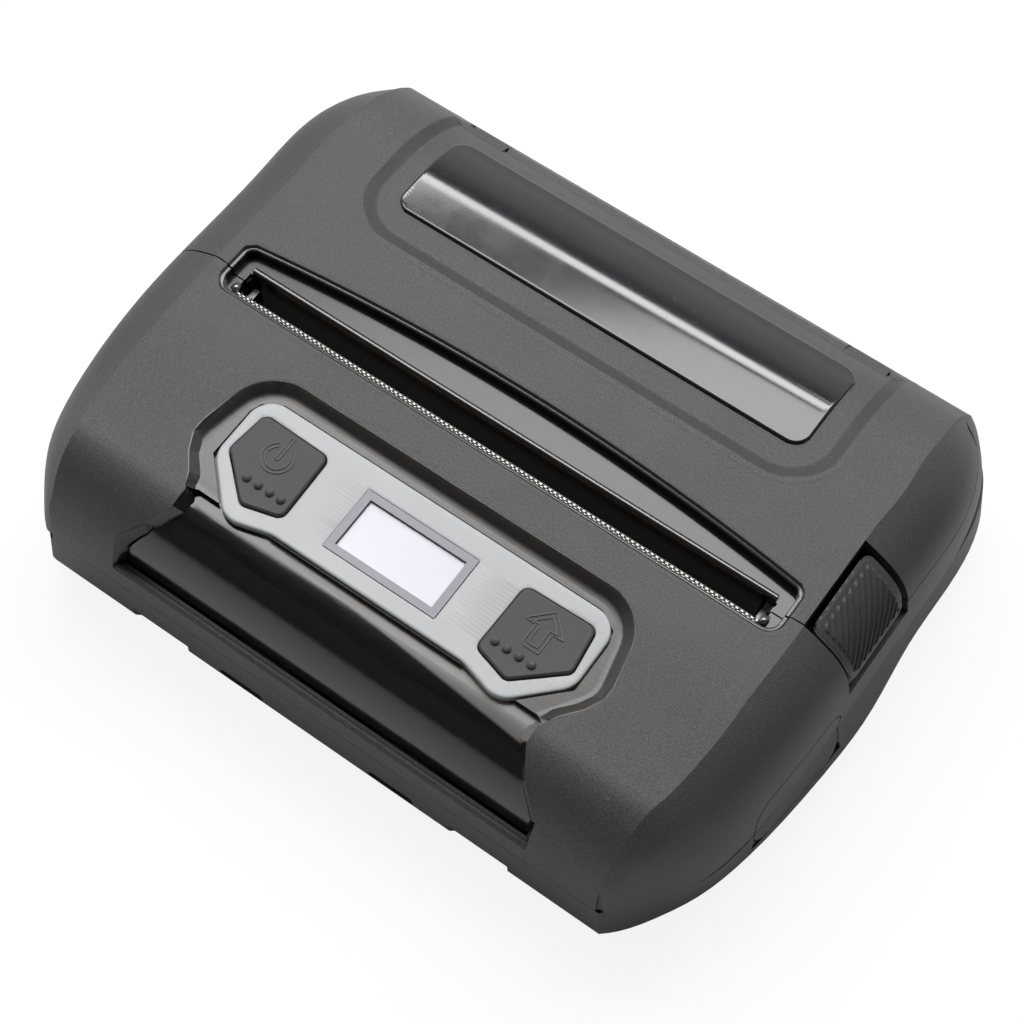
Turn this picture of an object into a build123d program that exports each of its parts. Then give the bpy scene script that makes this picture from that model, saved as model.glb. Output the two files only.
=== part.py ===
from build123d import *
import os
from math import cos, radians, sin, sqrt

# Portable thermal receipt printer for 112 mm paper.
# Millimetres, +Z up, +X to the user's right, -Y to the user's front.
# The origin is under the middle of the case, on the plane that its feet rest on.

os.makedirs("parts", exist_ok=True)

# Driving dimensions of the case
HEIGHT = 40.0
PART_Z = 16.0
EDGE_Z = 7.0
BOTTOM_Z = 1.5
FLOOR_Z = 3.7
WALL = 2.2
FRONT_Y = -61.2
REAR_Y = 61.3
SEAM_Y = -5.0
SEAM_Z = 29.0
REAR_SEAM_Z = 31.2
GAP = 0.3

# Side view: a flat top between two quarter ellipses
FRONT_ARC_Y = -47.0
FRONT_ARC = (14.2, 22.7)
REAR_ARC_Y = 33.0
REAR_ARC = (28.3, 24.0)

# Upper casing stations: y, half width at the parting line, half width at the crease
STATIONS = (
    (-62.5, 62.3, 61.6),
    (-61.2, 62.4, 61.6),
    (-60.4, 63.9, 61.4),
    (-58.4, 65.9, 61.5),
    (-54.5, 68.9, 61.9),
    (-49.8, 72.0, 62.3),
    (-42.0, 75.1, 63.6),
    (-30.0, 76.9, 64.6),
    (-13.0, 77.7, 65.3),
    (20.0, 77.9, 65.4),
    (37.0, 77.6, 65.4),
    (47.0, 75.9, 65.4),
    (55.0, 72.2, 65.4),
    (59.5, 67.9, 65.3),
    (61.3, 65.4, 65.3),
    (62.6, 65.3, 65.3),
)
STATION_FOOT_Z = 10.0
# Shoulder section: share of the height, then the share of the way in to the crease
# at the middle of the case and at its rounder ends
SHOULDER = (
    (0.0, 0.0, 0.0),
    (0.2, 0.0, 0.01),
    (0.433, 0.024, 0.06),
    (0.6, 0.08, 0.18),
    (0.733, 0.184, 0.34),
    (0.837, 0.352, 0.52),
    (0.92, 0.61, 0.74),
    (1.0, 1.0, 1.0),
)
SHOULDER_FRONT = (-20.0, -45.0)
SHOULDER_REAR = (38.0, 53.0)

# Lower casing, right half: the parting line and the flared edge below it
PARTING_SIDE = (
    (62.3, -61.2),
    (67.8, -55.6),
    (71.8, -49.8),
    (75.1, -42.0),
    (76.9, -30.0),
    (77.8, -5.0),
    (77.7, 30.0),
    (75.9, 49.0),
    (72.0, 56.6),
    (65.3, 61.2),
)
EDGE_SIDE = (
    (63.4, -61.3),
    (66.3, -58.4),
    (70.3, -52.4),
    (74.0, -45.0),
    (76.6, -36.0),
    (79.7, -13.4),
    (80.4, 2.0),
    (79.0, 21.0),
    (77.7, 47.8),
    (74.6, 55.6),
    (66.5, 61.3),
)
EDGE_TUCK = 5.0

# Paper exit
SLOT_X = 59.0
SLOT_FRONT = -7.5
SLOT_REAR = -2.8
TROUGH_FRONT = -9.5
TROUGH_FLOOR = 37.5
TOOTH_PITCH = 1.0

# Control panel recess
RING_DEPTH = 1.4
SCOOP_DEPTH = 2.6
LINER_DEPTH = 4.4
SCOOP_FOOT_Z = 21.0
PANEL_TOP = 0.9
PANEL_FOOT = 2.4
PANEL_GAP = 0.35
KEY_TOP = 0.3

# Print mechanism
PLATEN_Y = 1.5
PLATEN_Z = 29.0
PLATEN_R = 6.0
PLATEN_X = 56.0
SHAFT_R = 2.5
GEAR_MODULE = 0.5
PLATEN_TEETH = 24
IDLER_TEETH = 30
PINION_TEETH = 14
GEAR_X = -64.0
GEAR_WIDTH = 3.0
HINGE_Y = 55.4
HINGE_Z = 27.2
HINGE_R = 2.2
PIN_R = 1.0
KNUCKLES = (34.5, 44.5, 54.5)
KNUCKLE_WIDTH = 9.4

# Latch button grip
LATCH_RIBS = 7
LATCH_RIB_Y = -1.6
LATCH_RIB_PITCH = 2.2
LATCH_RIB_DEPTH = 0.4

# Battery bay
BATTERY_X = 36.0
BATTERY_REAR = -17.5
BATTERY_FRONT = -52.5
BATTERY_TOP = 19.5


def top_height(y):
    """Height of the case top at y in the side view."""
    if y < FRONT_ARC_Y:
        depth, rise = FRONT_ARC
        return PART_Z + rise * sqrt(max(0.0, 1 - ((y - FRONT_ARC_Y) / depth) ** 2))
    if y < -17.0:
        return HEIGHT - 1.3 * ((-17.0 - y) / 30.0) ** 1.3
    if y < REAR_ARC_Y:
        return HEIGHT
    depth, rise = REAR_ARC
    return PART_Z + rise * sqrt(max(0.0, 1 - ((y - REAR_ARC_Y) / depth) ** 2))


def side_view(inset):
    """Side view of the case, drawn in by inset."""
    front = (FRONT_ARC[0] - inset, FRONT_ARC[1] - inset)
    rear = (REAR_ARC[0] - inset, REAR_ARC[1] - inset)
    roof = HEIGHT - inset
    front_y = FRONT_ARC_Y - front[0]
    rear_y = REAR_ARC_Y + rear[0]
    with BuildSketch(Plane.YZ) as view:
        with BuildLine():
            EllipticalCenterArc((FRONT_ARC_Y, PART_Z), *front, start_angle=90, arc_size=90)
            EllipticalCenterArc((REAR_ARC_Y, PART_Z), *rear, start_angle=0, arc_size=90)
            Spline(
                (FRONT_ARC_Y, PART_Z + front[1]),
                (-30.0, roof - 0.6),
                (-17.0, roof),
                tangents=((1, 0.01), (1, 0)),
            )
            Line((-17.0, roof), (REAR_ARC_Y, roof))
            Polyline((front_y, PART_Z), (front_y, 0), (rear_y, 0), (rear_y, PART_Z))
        make_face()
    return view.sketch


def case_slab(inset):
    """The side view drawn in by inset, as wide as the case."""
    with BuildPart() as slab:
        extrude(side_view(inset), amount=90, both=True)
    return slab.part


def roundness(y):
    """0 along the middle of the case, 1 at its ends."""
    front = (SHOULDER_FRONT[0] - y) / (SHOULDER_FRONT[0] - SHOULDER_FRONT[1])
    rear = (y - SHOULDER_REAR[0]) / (SHOULDER_REAR[1] - SHOULDER_REAR[0])
    return min(1.0, max(0.0, front, rear))


def casing_form(inset):
    """Upper casing: sections with rounded shoulders, cut to the side view."""
    with BuildPart() as form:
        for y, half, crease in STATIONS:
            rise = top_height(y) - inset - STATION_FOOT_Z
            end = roundness(y)
            right = [
                (
                    half - inset - (half - crease) * (middle + end * (tip - middle)),
                    STATION_FOOT_Z + rise * level,
                )
                for level, middle, tip in SHOULDER
            ]
            left = [(-x, z) for x, z in reversed(right)]
            roof = (crease - inset - 0.5, 50.0)
            with BuildSketch(Plane.XZ.offset(-y)):
                with BuildLine():
                    Line(left[-1], right[0])
                    Spline(*right)
                    Polyline(right[-1], roof, (-roof[0], roof[1]), left[0])
                    Spline(*left)
                make_face()
        loft()
        extrude(side_view(inset), amount=90, both=True, mode=Mode.INTERSECT)
    return form.part


def prism(points, bottom, top):
    """A plan outline drawn on its right half, mirrored and raised from bottom to top."""
    with BuildPart() as solid:
        with BuildSketch(Plane.XY.offset(bottom)):
            with BuildLine():
                Polyline(*points)
                mirror(about=Plane.YZ)
            make_face()
        extrude(amount=top - bottom)
    return solid.part


def rim(side, front, rear, height, inset):
    """One level of the lower casing, drawn in by inset."""
    shrink_x = 1 - inset / 80.0
    shrink_y = 1 - inset / 61.3
    right = [(x * shrink_x, y * shrink_y) for x, y in side]
    with BuildSketch(Plane.XY.offset(height)) as level:
        with BuildLine():
            Line((0, front * shrink_y), right[0])
            Spline(*right)
            Line(right[-1], (0, rear * shrink_y))
            mirror(about=Plane.YZ)
        make_face()
    return level.sketch


def gear_face(teeth, turn):
    """Spur gear outline with straight-sided teeth, first tooth at turn degrees."""
    pitch_r = GEAR_MODULE * teeth / 2
    root_r = pitch_r - 1.2 * GEAR_MODULE
    tip_r = pitch_r + 0.9 * GEAR_MODULE
    with BuildSketch() as face:
        Circle(root_r)
        with PolarLocations(0, teeth, start_angle=turn):
            with BuildLine():
                Polyline(
                    (root_r - 0.2, -0.48),
                    (pitch_r, -0.3),
                    (tip_r, -0.12),
                    (tip_r, 0.12),
                    (pitch_r, 0.3),
                    (root_r - 0.2, 0.48),
                    close=True,
                )
            make_face()
    return face.sketch


# Outer and inner forms of the upper casing
OUTER = casing_form(0.0)
INNER = casing_form(WALL)

# Zone of the hinged paper cover: behind the seam and above the side line
with BuildPart() as cover_zone:
    with BuildSketch(Plane.YZ):
        with BuildLine():
            Polyline(
                (SEAM_Y, 60.0),
                (SEAM_Y, SEAM_Z),
                (51.6, SEAM_Z),
                (53.6, REAR_SEAM_Z),
                (75.0, REAR_SEAM_Z),
                (75.0, 60.0),
                close=True,
            )
        make_face()
    extrude(amount=90, both=True)
    # The latch button stands in the right shoulder, in front of the cover's side
    with BuildSketch(Plane.XY.offset(20)):
        with Locations((78.0, 5.3)):
            Rectangle(24.8, 20.6)
    extrude(amount=40, mode=Mode.SUBTRACT)

with BuildPart() as cover_zone_inside:
    with BuildSketch(Plane.YZ):
        with BuildLine():
            Polyline(
                (SEAM_Y + GAP, 60.0),
                (SEAM_Y + GAP, SEAM_Z + GAP),
                (51.3, SEAM_Z + GAP),
                (52.3, REAR_SEAM_Z + GAP),
                (75.0, REAR_SEAM_Z + GAP),
                (75.0, 60.0),
                close=True,
            )
        make_face()
    extrude(amount=90, both=True)
    with BuildSketch(Plane.XY.offset(20)):
        with Locations((78.0, 5.3)):
            Rectangle(25.4, 21.2)
    extrude(amount=40, mode=Mode.SUBTRACT)

# Plan of the recess and of the scoop in front of it, right half
RECESS_PLAN = (
    (0.0, -18.2),
    (36.0, -18.2),
    (42.7, -22.0),
    (45.2, -34.0),
    (45.2, -36.5),
    (43.4, -40.2),
    (40.5, -43.7),
    (38.6, -47.0),
    (38.6, -50.5),
    (41.5, -55.0),
    (46.5, -58.5),
    (46.5, -66.0),
    (0.0, -66.0),
)
# Ring round the panel: corners of its rim, and of its floor further in
RING_RIM = ((36.0, -18.2), (42.7, -22.0), (45.2, -34.0), (45.2, -36.5), (43.4, -40.2), (40.5, -43.7), (39.2, -46.2))
RING_FLOOR = ((35.4, -20.3), (40.9, -23.4), (43.1, -34.2), (43.1, -36.0), (41.4, -39.2), (38.5, -42.7), (37.1, -46.2))
RING_TILT = 0.045
# Scoop: half width of its rim at points along the front curve
SCOOP_RIM = (
    (-45.0, 39.7),
    (-47.0, 38.6),
    (-50.5, 38.6),
    (-53.0, 40.2),
    (-55.0, 41.5),
    (-57.0, 44.3),
    (-58.5, 46.5),
    (-60.0, 46.5),
    (-60.8, 46.5),
)
# Slot, trough and its curved rear wall, right half
TROUGH_PLAN = (
    (0.0, TROUGH_FRONT),
    (60.3, TROUGH_FRONT),
    (62.0, -7.4),
    (62.0, 0.0),
    (60.6, 1.2),
)
# Button and panel outlines, right half
PANEL_PLAN = (
    (0.0, -22.8),
    (35.0, -22.8),
    (38.6, -24.9),
    (39.4, -27.0),
    (39.4, -37.5),
    (31.0, -46.0),
    (28.5, -46.7),
    (21.0, -44.6),
    (0.0, -44.6),
)
BUTTON_PLAN = (
    (36.5, -26.4),
    (21.8, -26.8),
    (21.4, -41.0),
    (29.0, -43.1),
    (37.6, -35.5),
)
DOME_X = (23.5, 26.0, 28.6, 31.2)
DOME_Y = -38.5


def ring_cut():
    """Dished ring: a frustum on a plane that leans with the case top."""
    with BuildPart() as cut:
        for depth, spread in ((RING_DEPTH, 0.0), (-RING_DEPTH / 2, 1.5)):
            level = Plane(
                origin=(0, -32.0, 39.4 - depth),
                x_dir=(1, 0, 0),
                z_dir=(0, -RING_TILT, 1),
            )
            edge = []
            for rim_point, floor_point in zip(RING_RIM, RING_FLOOR):
                x = floor_point[0] + spread * (rim_point[0] - floor_point[0])
                y = floor_point[1] + spread * (rim_point[1] - floor_point[1])
                edge.append((x, y + 32.0))
            with BuildSketch(level):
                with BuildLine():
                    Polyline((0.0, edge[0][1]), *edge, (0.0, edge[-1][1]))
                    mirror(about=Plane.YZ)
                make_face()
        loft(ruled=True)
    return cut.part


def scoop_cut():
    """Scoop under the panel: sections square to the front curve, with flared ends."""
    depth, rise = FRONT_ARC
    with BuildPart() as cut:
        for y, half in SCOOP_RIM:
            across = (y - FRONT_ARC_Y) / depth
            along = sqrt(1 - min(1.0, across**2)) if y < FRONT_ARC_Y else 1.0
            normal = Vector(0, min(0.0, across) / depth, along / rise).normalized()
            square = Plane(
                origin=(0, y, top_height(y)),
                x_dir=(1, 0, 0),
                z_dir=normal.cross(Vector(1, 0, 0)),
            )
            lift = 1.0 if square.y_dir.dot(normal) > 0 else -1.0
            with BuildSketch(square):
                with BuildLine():
                    Polyline(
                        (half + 0.7, lift),
                        (half - 2.6, -3.6 * lift),
                        (-half + 2.6, -3.6 * lift),
                        (-half - 0.7, lift),
                        close=True,
                    )
                make_face()
        loft(ruled=True)
        add(case_slab(SCOOP_DEPTH), mode=Mode.SUBTRACT)
    return cut.part


def panel_seat():
    """Seat of the panel in the floor of the ring, with a narrow gap round it."""
    with BuildPart() as seat:
        with BuildSketch(Plane.XY.offset(30.0)):
            with BuildLine():
                Polyline(*PANEL_PLAN)
                mirror(about=Plane.YZ)
            make_face()
            offset(amount=PANEL_GAP, kind=Kind.INTERSECTION)
        extrude(amount=15.0)
        add(case_slab(PANEL_FOOT), mode=Mode.SUBTRACT)
    return seat.part


RECESS_PRISM = prism(RECESS_PLAN, SCOOP_FOOT_Z, 45.0)


def button_prism(side, grow, bottom, top):
    """Five-sided key outline on one side of the display, grown or shrunk."""
    with BuildPart() as solid:
        with BuildSketch(Plane.XY.offset(bottom)):
            with BuildLine():
                Polyline(*[(side * x, y) for x, y in BUTTON_PLAN], close=True)
            make_face()
            fillet(vertices(), radius=1.6)
            if grow:
                offset(amount=grow)
        extrude(amount=top - bottom)
    return solid.part


def trough_cut():
    """Trough across the top, with the slot at its bottom."""
    with BuildPart() as cut:
        with BuildSketch(Plane.XY.offset(TROUGH_FLOOR)):
            with BuildLine():
                Polyline(*TROUGH_PLAN)
                ThreePointArc(TROUGH_PLAN[-1], (0.0, 5.3), (-60.6, 1.2))
                Polyline(*[(-x, y) for x, y in TROUGH_PLAN])
            make_face()
        extrude(amount=6, taper=-14)
        with BuildSketch(Plane.XY.offset(TROUGH_FLOOR - 6)):
            with Locations((0, (SLOT_FRONT + SLOT_REAR) / 2)):
                Rectangle(2 * SLOT_X, SLOT_REAR - SLOT_FRONT)
        extrude(amount=12)
    return cut.part


TROUGH_CUT = trough_cut()


def lower_form():
    """Lower casing: flared sides over a tucked-in underside."""
    with BuildPart() as form:
        top = rim(PARTING_SIDE, FRONT_Y, REAR_Y, PART_Z - 0.05, 0)
        edge = rim(EDGE_SIDE, -61.3, REAR_Y, EDGE_Z, 0)
        tuck = rim(EDGE_SIDE, -61.3, REAR_Y, EDGE_Z - 1.6, 0.3)
        foot = rim(EDGE_SIDE, -61.3, REAR_Y, BOTTOM_Z, EDGE_TUCK)
        loft([top, edge], ruled=True)
        loft([edge, tuck, foot], ruled=True)
    return form.part


LOWER_OUTER = lower_form()

# Port flap in the right side wall: a rounded plate across the parting line
FLAP_Y = (-33.0, -7.0)
FLAP_Z = (9.5, 24.5)
FLAP_BACK_X = 76.0
FLAP_AXIS = (77.8, -20.0, 10.3)
FLAP_LEAN = 0.09
FLAP_BARREL_R = 0.7


def flap_prism(inner_x, outer_x, grow):
    """Rounded outline of the port flap, raised along X."""
    length = FLAP_Y[1] - FLAP_Y[0] + 2 * grow
    height = FLAP_Z[1] - FLAP_Z[0] + 2 * grow
    with BuildPart() as solid:
        with BuildSketch(Plane.YZ.offset(inner_x)):
            with Locations((sum(FLAP_Y) / 2, sum(FLAP_Z) / 2)):
                RectangleRounded(length, height, 5.0 + grow)
        extrude(amount=outer_x - inner_x)
    return solid.part


# Upper housing: front half of the top, side walls and rear wall under the cover
with BuildPart() as upper_housing:
    add(OUTER)
    add(INNER, mode=Mode.SUBTRACT)
    # Front lip of the trough, thick enough for the tear bar's seat
    with BuildSketch(Plane.XY.offset(35.4)):
        with Locations((0, -8.6)):
            Rectangle(126.0, 7.2)
    extrude(amount=2.6)
    add(TROUGH_CUT, mode=Mode.SUBTRACT)
    add(cover_zone.part, mode=Mode.SUBTRACT)
    add(RECESS_PRISM, mode=Mode.SUBTRACT)
    split(bisect_by=Plane.XY.offset(PART_Z), keep=Keep.TOP)
    # Rounded lip that turns up at the foot of the scoop
    with BuildSketch(Plane.YZ.offset(-46.4)):
        with Locations((-60.0, SCOOP_FOOT_Z)):
            Circle(0.7)
    extrude(amount=92.8)
    # Port flap opening
    add(flap_prism(60.0, 85.0, GAP), mode=Mode.SUBTRACT)
    # Pocket of the latch button
    with BuildSketch(Plane.XY.offset(25.8)):
        with Locations((68.6, 5.3)):
            Rectangle(17.2, 20.6)
    extrude(amount=20.0, mode=Mode.SUBTRACT)
    # Shelf under the latch button, with a slot for its stem
    with BuildSketch(Plane.XY.offset(24.2)):
        with Locations((71.2, 5.3)):
            Rectangle(10.6, 20.6)
        with Locations((69.6, 5.3)):
            Rectangle(3.6, 8.0, mode=Mode.SUBTRACT)
    extrude(amount=1.6)
    # Hinge knuckles on the rear wall, and room for those of the cover
    for side in (-1, 1):
        with BuildSketch(Plane.YZ.offset(side * KNUCKLES[1] - (KNUCKLE_WIDTH + 2 * GAP) / 2)):
            with Locations((HINGE_Y, HINGE_Z)):
                Circle(HINGE_R + GAP)
            with Locations((HINGE_Y - 2.5, HINGE_Z + 2.6)):
                Rectangle(16.0, 6.0)
        extrude(amount=KNUCKLE_WIDTH + 2 * GAP, mode=Mode.SUBTRACT)
        for x in (KNUCKLES[0], KNUCKLES[2]):
            with BuildSketch(Plane.YZ.offset(side * x - KNUCKLE_WIDTH / 2)):
                with Locations((HINGE_Y, HINGE_Z)):
                    Circle(HINGE_R)
            extrude(amount=KNUCKLE_WIDTH)
        with BuildSketch(Plane.YZ.offset(side * KNUCKLES[1] - 15.2)):
            with Locations((HINGE_Y, HINGE_Z)):
                Circle(PIN_R + 0.02)
        extrude(amount=30.4, mode=Mode.SUBTRACT)
upper_housing.part.label = "upper_housing"
export_step(upper_housing.part, "parts/upper_housing.step")

# Glossy liner let into the housing: ring round the panel and scoop in front of it
with BuildPart() as recess_liner:
    add(RECESS_PRISM)
    add(OUTER, mode=Mode.INTERSECT)
    add(case_slab(LINER_DEPTH), mode=Mode.SUBTRACT)
    add(ring_cut(), mode=Mode.SUBTRACT)
    add(scoop_cut(), mode=Mode.SUBTRACT)
    add(prism(RECESS_PLAN, SCOOP_FOOT_Z - 1.0, SCOOP_FOOT_Z + 1.2) - case_slab(SCOOP_DEPTH), mode=Mode.SUBTRACT)
    # Seat of the panel, then the key and display openings in its floor
    add(panel_seat(), mode=Mode.SUBTRACT)
    for side in (-1, 1):
        add(button_prism(side, GAP, 30.0, 45.0), mode=Mode.SUBTRACT)
    with BuildSketch(Plane.XY.offset(30)):
        with Locations((0, -34.25)):
            Rectangle(21.8, 11.0)
    extrude(amount=12, mode=Mode.SUBTRACT)
recess_liner.part.label = "recess_liner"
export_step(recess_liner.part, "parts/recess_liner.step")

# Paper cover: top behind the seam with both shoulders, window pad and platen brackets
PAD_PLAN = (
    (0.0, 17.2),
    (45.4, 17.2),
    (53.0, 23.0),
    (53.0, 66.0),
    (0.0, 66.0),
)
LENS_PLAN = (
    (0.0, 25.1),
    (43.4, 25.1),
    (46.2, 28.0),
    (46.2, 44.5),
    (43.4, 48.0),
    (0.0, 48.0),
)
LENS_LEDGE = 1.6
LENS_FIT = 0.1
LENS_PROUD = 0.3
LENS_BACK = 1.5


def lens_prism(grow):
    """Window outline grown or shrunk, as a tall prism with rounded corners."""
    with BuildPart() as solid:
        with BuildSketch(Plane.XY.offset(20.0)):
            with BuildLine():
                Polyline(*LENS_PLAN)
                mirror(about=Plane.YZ)
            make_face()
            offset(amount=grow)
        extrude(amount=30.0)
    return solid.part


with BuildPart() as paper_cover:
    add(OUTER)
    add(INNER, mode=Mode.SUBTRACT)
    # Body of the trough floor over the platen
    with BuildSketch(Plane.XY.offset(35.8)):
        with Locations((0, 1.6)):
            Rectangle(126.0, 12.8)
    extrude(amount=2.6)
    add(TROUGH_CUT, mode=Mode.SUBTRACT)
    add(cover_zone_inside.part, mode=Mode.INTERSECT)
    add(prism(PAD_PLAN, 25.0, 45.0) - case_slab(0.8), mode=Mode.SUBTRACT)
    add(lens_prism(LENS_FIT) - case_slab(LENS_BACK + 0.05), mode=Mode.SUBTRACT)
    add(lens_prism(-LENS_LEDGE), mode=Mode.SUBTRACT)
    # Platen brackets, one behind each end of the roller
    with BuildSketch(Plane.YZ.offset(58.6)) as bracket:
        with BuildLine():
            Polyline(
                (-4.4, 36.6),
                (-2.6, 25.6),
                (0.0, 24.6),
                (4.0, 24.6),
                (9.0, 31.0),
                (10.5, 37.0),
                close=True,
            )
        make_face()
        with Locations((PLATEN_Y, PLATEN_Z)):
            Circle(SHAFT_R + 0.06, mode=Mode.SUBTRACT)
    extrude(amount=1.6)
    extrude(bracket.sketch.moved(Location((-118.8, 0, 0))), amount=1.6)
    # Hinge arms and knuckles
    for side in (-1, 1):
        with BuildSketch(Plane.YZ.offset(side * KNUCKLES[1] - KNUCKLE_WIDTH / 2)):
            with Locations((HINGE_Y, HINGE_Z)):
                Circle(HINGE_R)
            with BuildLine():
                Polyline(
                    (HINGE_Y - HINGE_R, HINGE_Z),
                    (HINGE_Y, HINGE_Z),
                    (HINGE_Y, HINGE_Z + HINGE_R),
                    (54.6, 31.6),
                    (52.0, 32.6),
                    close=True,
                )
            make_face()
            with Locations((HINGE_Y, HINGE_Z)):
                Circle(PIN_R + 0.05, mode=Mode.SUBTRACT)
        extrude(amount=KNUCKLE_WIDTH)
    # Catch that the latch holds
    with BuildSketch(Plane.XZ.offset(-8.0)):
        with BuildLine():
            Polyline(
                (61.4, 37.2),
                (61.4, 21.6),
                (64.4, 21.6),
                (64.4, 23.4),
                (62.8, 24.4),
                (62.8, 37.2),
                close=True,
            )
        make_face()
    extrude(amount=5.6)
paper_cover.part.label = "paper_cover"
export_step(paper_cover.part, "parts/paper_cover.step")

# Window lens: a curved sheet let into the cover, wrapping over the rear shoulder
with BuildPart() as window_lens:
    add(lens_prism(0.0))
    add(case_slab(LENS_PROUD), mode=Mode.INTERSECT)
    add(case_slab(LENS_BACK), mode=Mode.SUBTRACT)
window_lens.part.label = "window_lens"
export_step(window_lens.part, "parts/window_lens.step")

# Lower housing: flared shell with a tucked-in underside
with BuildPart() as lower_housing:
    add(LOWER_OUTER)
    loft(
        [
            rim(PARTING_SIDE, FRONT_Y, REAR_Y, PART_Z, WALL),
            rim(EDGE_SIDE, -61.3, REAR_Y, EDGE_Z, WALL),
            rim(EDGE_SIDE, -61.3, REAR_Y, FLOOR_Z, EDGE_TUCK + 0.6),
        ],
        ruled=True,
        mode=Mode.SUBTRACT,
    )
    # Battery bay: walls inside, opening below, seat for the door
    with BuildSketch(Plane.XY.offset(FLOOR_Z - 0.5)):
        with Locations((0, (BATTERY_FRONT + BATTERY_REAR) / 2)):
            Rectangle(2 * BATTERY_X + 3.2, BATTERY_REAR - BATTERY_FRONT + 3.2)
    extrude(amount=11.8)
    with BuildSketch(Plane.XY):
        with Locations((0, (BATTERY_FRONT + BATTERY_REAR) / 2)):
            Rectangle(2 * BATTERY_X + 0.6, BATTERY_REAR - BATTERY_FRONT + 0.6)
    extrude(amount=PART_Z, mode=Mode.SUBTRACT)
    with BuildSketch(Plane.XY):
        with Locations((0, (BATTERY_FRONT + BATTERY_REAR) / 2)):
            RectangleRounded(2 * BATTERY_X + 8.0, BATTERY_REAR - BATTERY_FRONT + 5.6, 2.0)
    extrude(amount=BOTTOM_Z + 1.3, mode=Mode.SUBTRACT)
    # Port flap opening
    add(flap_prism(60.0, 85.0, GAP), mode=Mode.SUBTRACT)
    # Groove that the barrel of the port flap turns in
    with BuildSketch(Plane(origin=FLAP_AXIS, z_dir=(FLAP_LEAN, 1, 0))):
        Circle(FLAP_BARREL_R + 0.5)
    extrude(amount=13.2, both=True, mode=Mode.SUBTRACT)
    # Two round-ended slots in the front edge, and a step back at each side of them
    with BuildSketch(Plane.XZ.offset(64.0)):
        with Locations((-17.3, 7.4), (17.3, 7.4)):
            RectangleRounded(10.2, 2.4, 1.1)
    extrude(amount=-5.2, mode=Mode.SUBTRACT)
    with BuildSketch():
        for side in (-1, 1):
            with BuildLine():
                Polyline(
                    (side * 28.6, -63.0),
                    (side * 31.0, -60.2),
                    (side * 42.6, -60.2),
                    (side * 45.0, -63.0),
                    close=True,
                )
            make_face()
    extrude(amount=8.6, mode=Mode.SUBTRACT)
    # Screw bosses
    with BuildSketch(Plane.XY.offset(FLOOR_Z - 0.5)):
        with GridLocations(128.0, 78.0, 2, 2):
            Circle(3.4)
    extrude(amount=PART_Z - FLOOR_Z - 0.1)
    with Locations(Plane.XY.offset(BOTTOM_Z)):
        with GridLocations(128.0, 78.0, 2, 2):
            Hole(1.3, depth=14.0)
    # Round seats for the feet
    with BuildSketch(Plane.XY):
        with GridLocations(112.0, 98.0, 2, 2):
            Circle(5.2)
    extrude(amount=BOTTOM_Z + 0.5, mode=Mode.SUBTRACT)
lower_housing.part.label = "lower_housing"
export_step(lower_housing.part, "parts/lower_housing.step")

with BuildPart() as rubber_feet:
    with BuildSketch():
        with GridLocations(112.0, 98.0, 2, 2):
            Circle(5.0)
    extrude(amount=BOTTOM_Z + 0.5)
    chamfer(edges().group_by(Axis.Z)[0], length=0.4)
rubber_feet.part.label = "rubber_feet"
export_step(rubber_feet.part, "parts/rubber_feet.step")

with BuildPart() as battery_door:
    with BuildSketch(Plane.XY.offset(BOTTOM_Z)):
        with Locations((0, (BATTERY_FRONT + BATTERY_REAR) / 2)):
            RectangleRounded(2 * BATTERY_X + 7.4, BATTERY_REAR - BATTERY_FRONT + 5.0, 1.7)
    extrude(amount=1.3)
battery_door.part.label = "battery_door"
export_step(battery_door.part, "parts/battery_door.step")

with BuildPart() as battery_pack:
    with BuildSketch(Plane.XY.offset(BOTTOM_Z + 1.3)):
        with Locations((0, (BATTERY_FRONT + BATTERY_REAR) / 2)):
            RectangleRounded(2 * BATTERY_X, BATTERY_REAR - BATTERY_FRONT, 3.0)
    extrude(amount=BATTERY_TOP - BOTTOM_Z - 1.3)
    fillet(edges().group_by(Axis.Z)[-1], radius=1.5)
battery_pack.part.label = "battery_pack"
export_step(battery_pack.part, "parts/battery_pack.step")

# Control panel: follows the case top, with openings for the keys and the display
with BuildPart() as control_panel:
    add(prism(PANEL_PLAN, 30.0, 45.0))
    add(case_slab(PANEL_TOP), mode=Mode.INTERSECT)
    add(case_slab(PANEL_FOOT), mode=Mode.SUBTRACT)
    for side in (-1, 1):
        add(button_prism(side, GAP, 30.0, 45.0), mode=Mode.SUBTRACT)
    with BuildSketch(Plane.XY.offset(30)):
        with Locations((0, -34.25)):
            Rectangle(24.5, 13.6)
    extrude(amount=15, mode=Mode.SUBTRACT)
control_panel.part.label = "control_panel"
export_step(control_panel.part, "parts/control_panel.step")

with BuildPart() as display_frame:
    with BuildSketch(Plane.XY.offset(36.0)):
        with Locations((0, -34.25)):
            Rectangle(24.4, 13.5)
            Rectangle(21.2, 10.5, mode=Mode.SUBTRACT)
    extrude(amount=6.0)
    add(case_slab(PANEL_TOP - 0.15), mode=Mode.INTERSECT)
    add(case_slab(PANEL_FOOT), mode=Mode.SUBTRACT)
display_frame.part.label = "display_frame"
export_step(display_frame.part, "parts/display_frame.step")

with BuildPart() as lcd_module:
    with BuildSketch(Plane.XY.offset(34.0)):
        with Locations((0, -34.25)):
            Rectangle(21.1, 10.4)
    extrude(amount=6.0)
    add(case_slab(PANEL_TOP + 0.5), mode=Mode.INTERSECT)
lcd_module.part.label = "lcd_module"
export_step(lcd_module.part, "parts/lcd_module.step")

KEY_FOOT_Z = 36.0


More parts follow.
